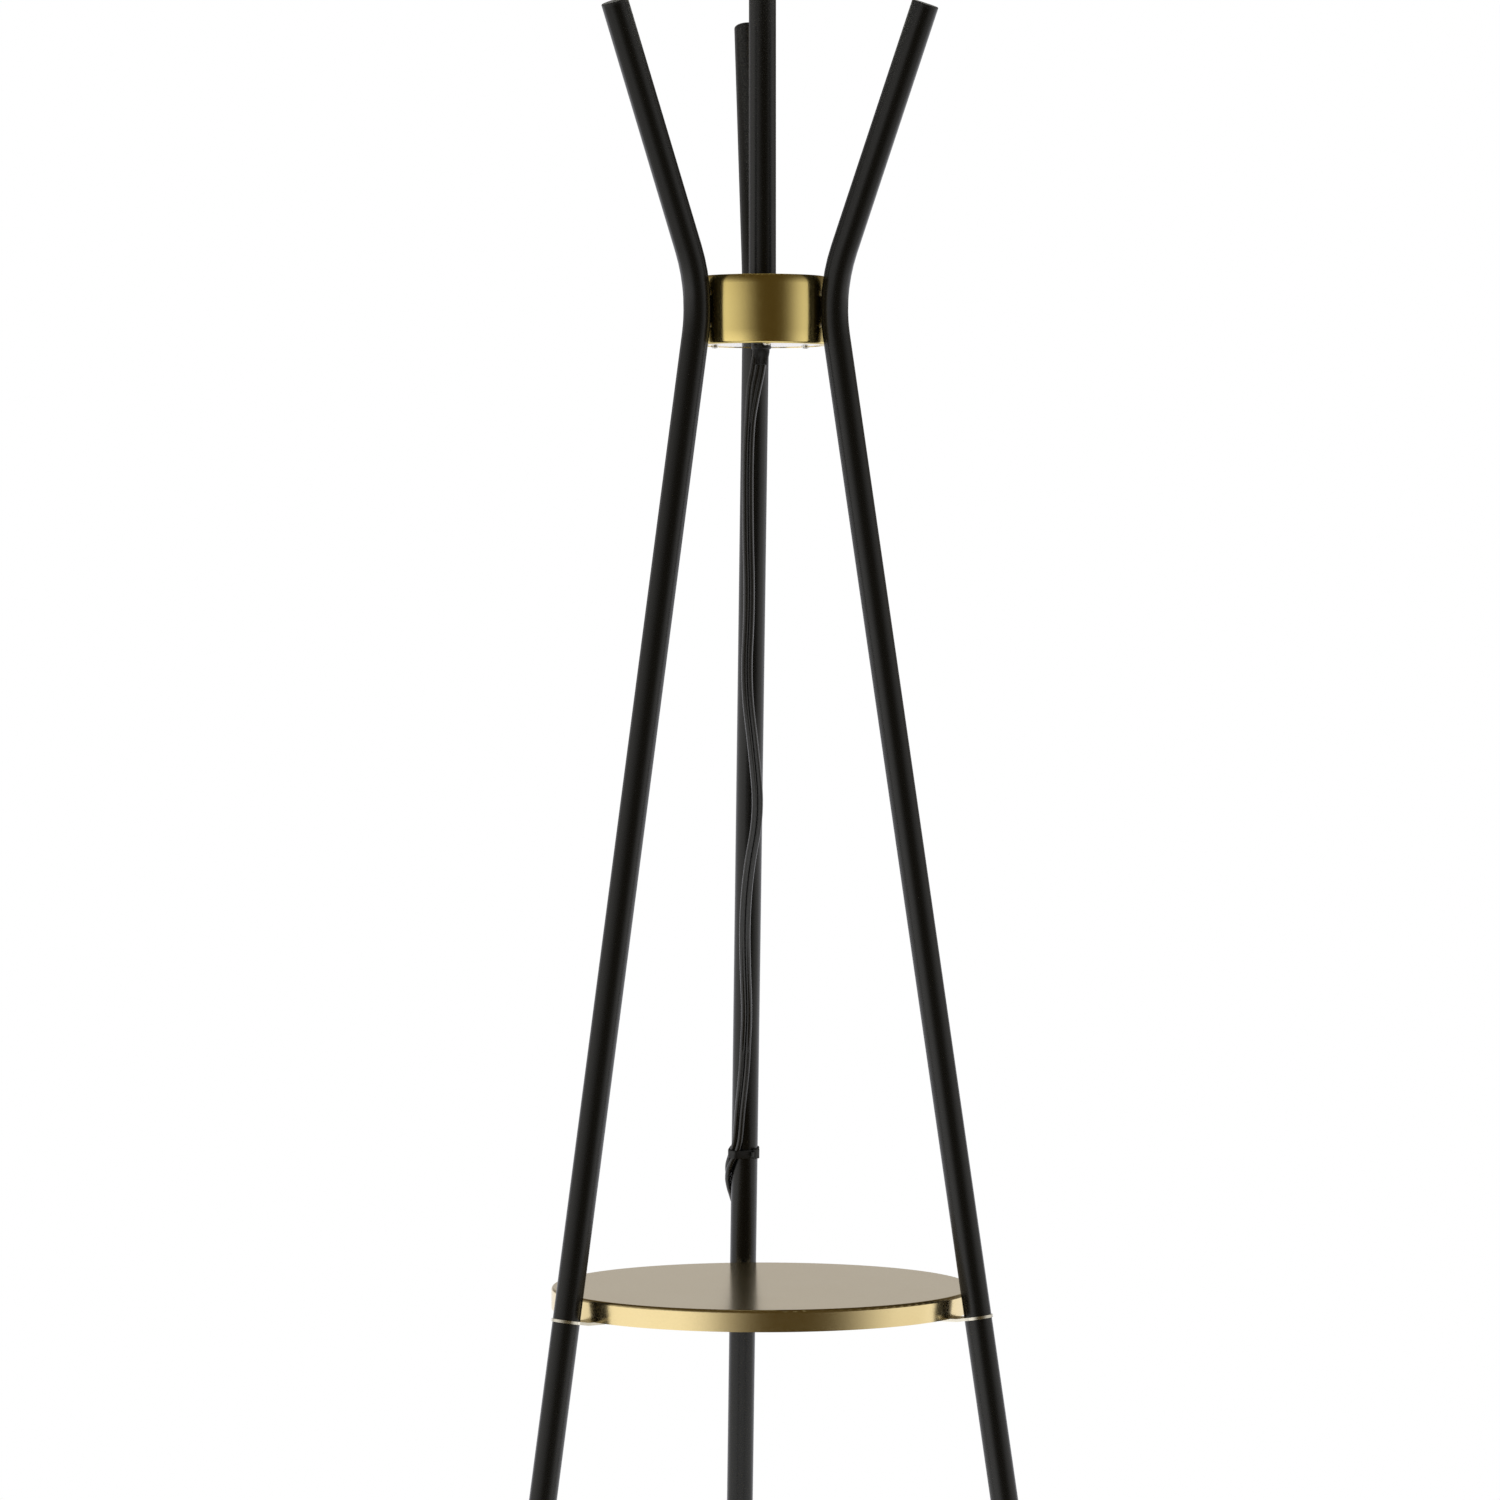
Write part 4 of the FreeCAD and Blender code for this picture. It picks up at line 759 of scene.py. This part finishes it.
def ribbonRings(points):
    # frames along the line: tangent, flat normal and width direction
    last = len(points) - 1
    floorFrom = next((k for k, point in enumerate(points) if point.z < cordSizes["floorHeight"]), last)
    frames = []
    for index, point in enumerate(points):
        along = (points[min(last, index + 1)] - points[max(0, index - 1)]).normalized()
        frames.append(squaredFrame(along, flatFacing(point, index > floorFrom)))
    reach = cordSizes["smoothing"]
    smoothed = []
    for index, frame in enumerate(frames):
        near = frames[max(0, index - reach): index + reach + 1]
        smoothed.append(squaredFrame(frame[0], sum((f[1] for f in near), Vector())))
    return smoothed


def twinCord():
    size = cordSizes
    curve = splineCurve("cordRoute", cordRoute(), 12)
    line = followSpline(curve)
    bpy.data.curves.remove(curve)
    rings = ribbonRings(line)
    lobe = size["lobe"] / 2
    section = []
    for side in (1, -1):
        for k in range(size["lobePoints"]):
            a = math.radians(size["lobeArc"] * (2 * k / (size["lobePoints"] - 1) - 1)) + (0 if side == 1 else pi)
            section.append((side, math.cos(a) * lobe, math.sin(a) * lobe))
    shape = bmesh.new()
    loop = bmesh.ops.create_circle(shape, segments=len(section), radius=0.001, cap_ends=False)["verts"]
    edges = list(shape.edges)

    def layRing(verts, index):
        normal, width = rings[index][1:]
        half = size["halfPitch"]
        half += (size["splitPitch"] - half) * smoothStep(*size["splitHeights"], line[index].z)
        for vert, (side, w, n) in zip(verts, section):
            vert.co = line[index] + width * (side * half + w) + normal * n

    layRing(loop, 0)
    bmesh.ops.contextual_create(shape, geom=edges)
    for index in range(1, len(line)):
        edges, loop = pushRing(shape, edges, loop)
        layRing(loop, index)
    bmesh.ops.contextual_create(shape, geom=edges)
    bmesh.ops.recalc_face_normals(shape, faces=shape.faces)
    piece = addPiece("twinCord", shape, "cord_sheath", "stand", ("cord_run", "cord_coil"), 60.0)
    return piece, line, rings


cordPiece, cordLine, cordRings = twinCord()
cordLength = sum((b - a).length for a, b in zip(cordLine, cordLine[1:]))
print("cord: %d rings, %.3f m" % (len(cordLine), cordLength))


# Collar
collarSizes = {
    "radius": 0.0455,
    "low": 1.1386,
    "high": 1.1865,
    "sheet": 0.0015,
    "lean": 24.0,  # degrees, how far the wall has turned inwards at its top edge
    "leanHeight": 0.0058,
    "topRound": 0.0004,
    "bottomRound": 0.0018,
    "mouth": 0.0421,
    "stemHole": 0.0052,
    "topInset": 0.012,  # from the wall to the flat top's inner part
    "straight": (0.010, 0.016),  # where the wall is straight, from its low and from its high edge
    "insideDrop": 0.009,
}


def collarSkin():
    size = collarSizes
    out, low, high, sheet = size["radius"], size["low"], size["high"], size["sheet"]
    top, bottom = size["topRound"], size["bottomRound"]
    turnIn = math.radians(size["lean"])
    arc = size["leanHeight"] / math.sin(turnIn)
    wall = arcPoints((out - arc, high - size["leanHeight"] - top * 0.6), arc, 0, size["lean"], 14)[::-1]
    edge = wall[0]
    corner = (edge[0] - top * math.cos(turnIn), edge[1] - top * math.sin(turnIn))
    profile = [(size["stemHole"], corner[1] + top), (out - size["topInset"], corner[1] + top)]
    profile += arcPoints(corner, top, 90, size["lean"], 5)[:-1] + wall
    profile += [(out, high - size["straight"][1]), (out, low + size["straight"][0])]
    profile += arcPoints((out - bottom, low + bottom), bottom, 0, -90, 8)
    profile += [(size["mouth"], low), (size["mouth"], low + sheet), (out - sheet, low + sheet)]
    profile += [(out - sheet, high - size["insideDrop"]), (edge[0] - sheet, high - sheet)]
    profile += [(size["stemHole"], high - sheet)]
    # the collar takes the deeper brass copy, which paints its shade into the colour
    addPiece(
        "collarSkin", spunShape(profile, 160), "satin_brass", "stand", ("collar_cup",), 50.0, finishes["collar_brass"]
    )


collarSkin()
print("collar: spun skin in place")

# Cable ties, coil tie and the cord's strain relief
tieSizes = {
    "height": 0.561,
    "lowHeight": 0.108,
    "width": 0.0060,
    "band": 0.0011,
    "slack": 0.0001,
    "headSize": (0.0030, 0.0046, 0.0072),
    "headSink": 0.0006,
    "headTurn": 41.0,  # degrees round the leg from the front, towards the right
    "lowHeadTurn": 90.0,
    "tailSize": (0.0012, 0.0036, 0.0040),
    "tailSink": 0.0016,
    "tailShift": 0.0032,
}
coilTieSizes = {
    "width": 0.0060,
    "band": 0.0007,
    "slack": 0.0002,
    "headSize": (0.0012, 0.0030, 0.0050),
    "headReach": 0.0010,
    "headLift": 0.0030,
}
reliefSizes = {  # rings are height, half width and half depth
    "top": [
        (1.1490, 0.0050, 0.0050), (1.1422, 0.0050, 0.0050), (1.1419, 0.0058, 0.0058), (1.1408, 0.0060, 0.0060),
        (1.1405, 0.0052, 0.0052), (1.1389, 0.0052, 0.0052), (1.1388, 0.0068, 0.0068), (1.1380, 0.0070, 0.0070),
        (1.1366, 0.0069, 0.0069), (1.1360, 0.0064, 0.0062), (1.1357, 0.0056, 0.0048),
    ],
    "tail": (1.1354, 0.0061, 0.0042),
    "tailFalls": (0.0098, 0.0004, 0.0016),  # by how much each of the three shrinks down the tail
    "tailSteps": 8,
    "end": [(1.1253, 0.0056, 0.0025), (1.1251, 0.0054, 0.0023), (1.1251, 0.0049, 0.0018)],
    "flangeShift": 0.0009,  # to the left, as the cord pulls it
    "tailShift": 0.0014,
    "waist": 0.5,  # the tail takes the twin cord's shape
}


def bandRing(circles, thickness, width, steps=72):
    # a taut band round circles (x, y, radius) in its own plane
    inside, outside = [], []
    for k in range(steps):
        a = 2 * pi * k / steps
        u = (math.cos(a), math.sin(a))
        x, y, r = max(circles, key=lambda c: c[0] * u[0] + c[1] * u[1] + c[2])
        inside.append((x + u[0] * r, y + u[1] * r))
        outside.append((x + u[0] * (r + thickness), y + u[1] * (r + thickness)))
    shape = bmesh.new()
    ring = bmesh.ops.create_circle(shape, segments=steps, radius=1.0, cap_ends=False)["verts"]
    first = edges = list(shape.edges)
    for vert, (x, y) in zip(ring, inside):
        vert.co = (x, y, -width / 2)
    for outline, z in [(outside, -width / 2), (outside, width / 2), (inside, width / 2)]:
        edges, ring = pushRing(shape, edges, ring)
        for vert, (x, y) in zip(ring, outline):
            vert.co = (x, y, z)
    bmesh.ops.bridge_loops(shape, edges=edges + first)
    bmesh.ops.recalc_face_normals(shape, faces=shape.faces)
    sharp = [e for e in shape.edges if len(e.link_faces) == 2 and e.calc_face_angle(0) > math.radians(50)]
    bmesh.ops.bevel(
        shape, geom=sharp, offset=min(thickness, width) * 0.25, offset_type="OFFSET", segments=2, profile=0.5,
        affect="EDGES", material=-1,
    )
    return shape


def addBlock(shape, size, place, turn=0.0, bevel=0.0004):
    made = bmesh.ops.create_cube(shape, size=1.0)["verts"]
    matrix = Matrix.Translation(place) @ Matrix.Rotation(turn, 4, "Z") @ Matrix.Diagonal((*size, 1.0))
    bmesh.ops.transform(shape, matrix=matrix, verts=made)
    edges = list({e for v in made for e in v.link_edges})
    bmesh.ops.bevel(
        shape, geom=edges, offset=bevel, offset_type="OFFSET", segments=2, profile=0.5, affect="EDGES", material=-1
    )


def legTie(height, headTurn):
    index = min(range(len(cordLine)), key=lambda k: abs(cordLine[k].z - height))
    axis = Vector((0, legAxisY(height), height))
    turn = Matrix.Rotation(math.radians(legSizes["lean"]), 4, "X")  # outwards, in +Y, on the way down
    local = turn.inverted() @ (cordLine[index] - axis)
    sideways = turn.inverted().to_3x3() @ cordRings[index][2]
    half, lobe = cordSizes["halfPitch"], cordSizes["lobe"] / 2
    slack = tieSizes["slack"]
    circles = [(0.0, 0.0, legSizes["radius"] + slack)]
    circles += [
        (local.x + side * half * sideways.x, local.y + side * half * sideways.y, lobe + slack) for side in (1, -1)
    ]
    band = bandRing(circles, tieSizes["band"], tieSizes["width"])
    a = math.radians(headTurn) - pi / 2
    outwards, around = Vector((math.cos(a), math.sin(a), 0)), Vector((-math.sin(a), math.cos(a), 0))
    surface = legSizes["radius"] + tieSizes["band"]
    size = tieSizes["headSize"]
    addBlock(band, size, outwards * (surface + size[0] / 2 - tieSizes["headSink"]), a)
    tail = outwards * (surface + size[0] - tieSizes["tailSink"]) - around * tieSizes["tailShift"]
    addBlock(band, tieSizes["tailSize"], tail, a, 0.0003)
    bmesh.ops.transform(band, matrix=Matrix.Translation(axis) @ turn, verts=band.verts)
    return band


def joinShapes(shapes):
    whole = bmesh.new()
    for shape in shapes:
        part = bpy.data.meshes.new("part")
        shape.to_mesh(part)
        shape.free()
        whole.from_mesh(part)
        bpy.data.meshes.remove(part)
    return whole


def coilTie():
    size = coilTieSizes
    cx, cy = cordSizes["coilCentre"]
    inner = cordSizes["coilRadius"] - cordSizes["coilPitch"] * cordSizes["coilTurns"] / 2
    outer = cordSizes["coilRadius"] - cordSizes["coilPitch"] * 0.25  # a quarter turn from the coil's start
    low, high = cordSizes["lowLayer"], cordSizes["lowLayer"] + cordSizes["layerStep"]
    lobe = cordSizes["lobe"] / 2 + size["slack"]
    half = cordSizes["halfPitch"]
    circles = [(y, z, lobe) for y in (inner - half, outer + half) for z in (low, high)]
    band = bandRing(circles, size["band"], size["width"])
    head = Vector((outer + half + lobe + size["headReach"], low + size["headLift"], 0))
    addBlock(band, size["headSize"], head, 0.0, 0.0003)
    # the band's own X, Y and Z become the lamp's Y, Z and X
    turn = Matrix(((0, 0, 1, cx), (1, 0, 0, cy), (0, 1, 0, 0), (0, 0, 0, 1)))
    bmesh.ops.transform(band, matrix=turn, verts=band.verts)
    bmesh.ops.recalc_face_normals(band, faces=band.faces)
    addPiece("coilTieBand", band, "black_plastic", "stand", ("coil_tie",))


def strainRelief():
    size = reliefSizes
    z0, wide0, deep0 = size["tail"]
    fall, narrow, flatten = size["tailFalls"]
    tail = []
    for k in range(size["tailSteps"] + 1):
        share = smoothStep(0, size["tailSteps"], k)
        tail.append((z0 - fall * k / size["tailSteps"], wide0 - narrow * share, deep0 - flatten * share))
    shape = bmesh.new()
    ring = bmesh.ops.create_circle(shape, segments=48, radius=1.0)["verts"]
    angles = [math.atan2(v.co.y, v.co.x) for v in ring]
    edges = list(shape.edges)
    for index, (z, wide, deep) in enumerate(size["top"] + tail + size["end"]):
        if index:
            edges, ring = pushRing(shape, edges, ring)
        shift = -size["flangeShift"] * smoothStep(1.1400, 1.1388, z) - size["tailShift"] * smoothStep(1.137, 1.124, z)
        waist = size["waist"] * smoothStep(1.136, 1.129, z)
        for vert, a in zip(ring, angles):
            vert.co = (shift + wide * math.cos(a), deep * math.sin(a) * (1 - waist * (1 - abs(math.cos(a))) ** 2), z)
    bmesh.ops.holes_fill(shape, edges=shape.edges)
    bmesh.ops.recalc_face_normals(shape, faces=shape.faces)
    addPiece("cordRelief", shape, "relief_rubber", "stand", ("strain_relief",), 40.0)


coilTie()
ties = joinShapes([
    legTie(tieSizes["height"], tieSizes["headTurn"]),
    legTie(tieSizes["lowHeight"], tieSizes["lowHeadTurn"]),
])
addPiece("legTieBands", ties, "black_plastic", "stand", ("cable_ties",))
strainRelief()
print("ties and strain relief are on the cord")

# Shade
shadeSizes = {
    "radius": 0.190,
    "bottom": 1.405,
    "top": 1.645,
    "cloth": 0.0007,
    "hem": 0.012,  # the turned strip at each edge
    "hemThickness": 0.0005,
    "hemLift": 0.0001,
    "hemEdge": 0.00018,
    "seam": 0.011,
    "seamAngle": pi / 2 + 0.4,
    "segments": 256,
}


def clothBand(name, radius, low, high, rows, start=-pi, sweep=2 * pi, replaced=()):
    # a strip of cloth round the Z axis with a UV map in metres
    shape = bmesh.new()
    uvs = shape.loops.layers.uv.new("UVMap")
    count = max(6, int(shadeSizes["segments"] * sweep / (2 * pi)))
    bmesh.ops.create_grid(shape, x_segments=count, y_segments=rows, size=0.5)
    for face in shape.faces:
        for loop in face.loops:
            loop[uvs].uv = ((loop.vert.co.x + 0.5) * sweep * radius, low + (loop.vert.co.y + 0.5) * (high - low))
    for vert in shape.verts:
        a = start + (vert.co.x + 0.5) * sweep
        vert.co = (radius * math.cos(a), radius * math.sin(a), low + (vert.co.y + 0.5) * (high - low))
    bmesh.ops.remove_doubles(shape, verts=shape.verts, dist=1e-6)
    bmesh.ops.recalc_face_normals(shape, faces=shape.faces)
    face = shape.faces[:][0]
    if face.normal.dot(Vector((*face.calc_center_median().xy, 0))) < 0:
        bmesh.ops.reverse_faces(shape, faces=shape.faces)
    return addPiece(name, shape, "shade_fabric", "shade", replaced)


def lampShade():
    size = shadeSizes
    inner = size["radius"] - size["hemThickness"]
    cloth = clothBand("shadeCloth", inner, size["bottom"], size["top"], 24, replaced=("shade_drum",))
    cloth.data.materials.append(finishes["shade_liner"])
    thick = cloth.modifiers.new("cloth", "SOLIDIFY")
    thick.thickness = size["cloth"]
    thick.offset = -1
    thick.material_offset = 1
    lowHem, highHem = size["bottom"] + size["hem"], size["top"] - size["hem"]
    strips = [
        ("shadeHemLow", size["bottom"], lowHem, -pi, 2 * pi),
        ("shadeHemHigh", highHem, size["top"], -pi, 2 * pi),
        ("shadeSeam", lowHem, highHem, size["seamAngle"], size["seam"] / size["radius"]),
    ]
    for name, low, high, start, sweep in strips:
        strip = clothBand(name, inner + size["hemLift"], low, high, 4, start, sweep)
        wall = strip.modifiers.new("turned", "SOLIDIFY")
        wall.thickness = size["hemThickness"]
        wall.offset = 1
        soft = strip.modifiers.new("softEdge", "BEVEL")
        soft.width = size["hemEdge"]
        soft.segments = 2


lampShade()
print("shade: cloth, hems and seam are on its rings")


# Finishes of the CAD nodes
slotChanges = {
    # the shelf tabs take the pale brass that paints their bright line
    "shelf_tab_left": "tab_brass",
    "shelf_tab_right": "tab_brass",
    "shelf_tab_rear": "tab_brass",
    "collar_cover": "cover_brass",
    "cover_screws": "cover_brass",
}
for name, piece in nodes.items():
    for slot in piece.material_slots:
        known = slot.name.split(".")[0]
        if known in finishes:
            slot.material = finishes[slotChanges.get(name, known)]
        else:
            print("no finish for", name, slot.name)

# Floor
floorShape = bmesh.new()
bmesh.ops.create_circle(floorShape, segments=96, radius=studio["floorRadius"], cap_ends=True)
for vert in floorShape.verts:
    vert.co.z = -studio["floorDrop"]
floorMesh = bpy.data.meshes.new("studioFloor")
floorShape.to_mesh(floorMesh)
floorShape.free()
floorPiece = bpy.data.objects.new("studioFloor", floorMesh)
scene.collection.objects.link(floorPiece)
floorLook = Finish("paleFloor", studio["floorColour"], 0.8)
floorGrain = floorLook.use(orangePeel, Grain=60.0, Wave=9.0)
floorLook.feed(
    "Base Color", floorLook.mixColour(floorGrain.outputs["Patch"], studio["floorColour"], (0.88, 0.88, 0.87))
)
floorMesh.materials.append(floorLook.material)


def fadeToWhite(look, near, far):
    # what the camera sees of the floor turns white away from the lamp
    tree = look.tree
    reach = tree.nodes.new("ShaderNodeVectorMath")
    reach.operation = "LENGTH"
    tree.links.new(look.place, reach.inputs[0])
    path = tree.nodes.new("ShaderNodeLightPath")
    share = mathNode(tree, "MULTIPLY", spread(tree, reach.outputs["Value"], near, far), path.outputs["Is Camera Ray"])
    white = tree.nodes.new("ShaderNodeEmission")
    blend = tree.nodes.new("ShaderNodeMixShader")
    tree.links.new(share, blend.inputs["Fac"])
    tree.links.new(look.shader.outputs["BSDF"], blend.inputs[1])
    tree.links.new(white.outputs["Emission"], blend.inputs[2])
    tree.links.new(blend.outputs["Shader"], tree.nodes["Material Output"].inputs["Surface"])


fadeToWhite(floorLook, *studio["floorFade"])
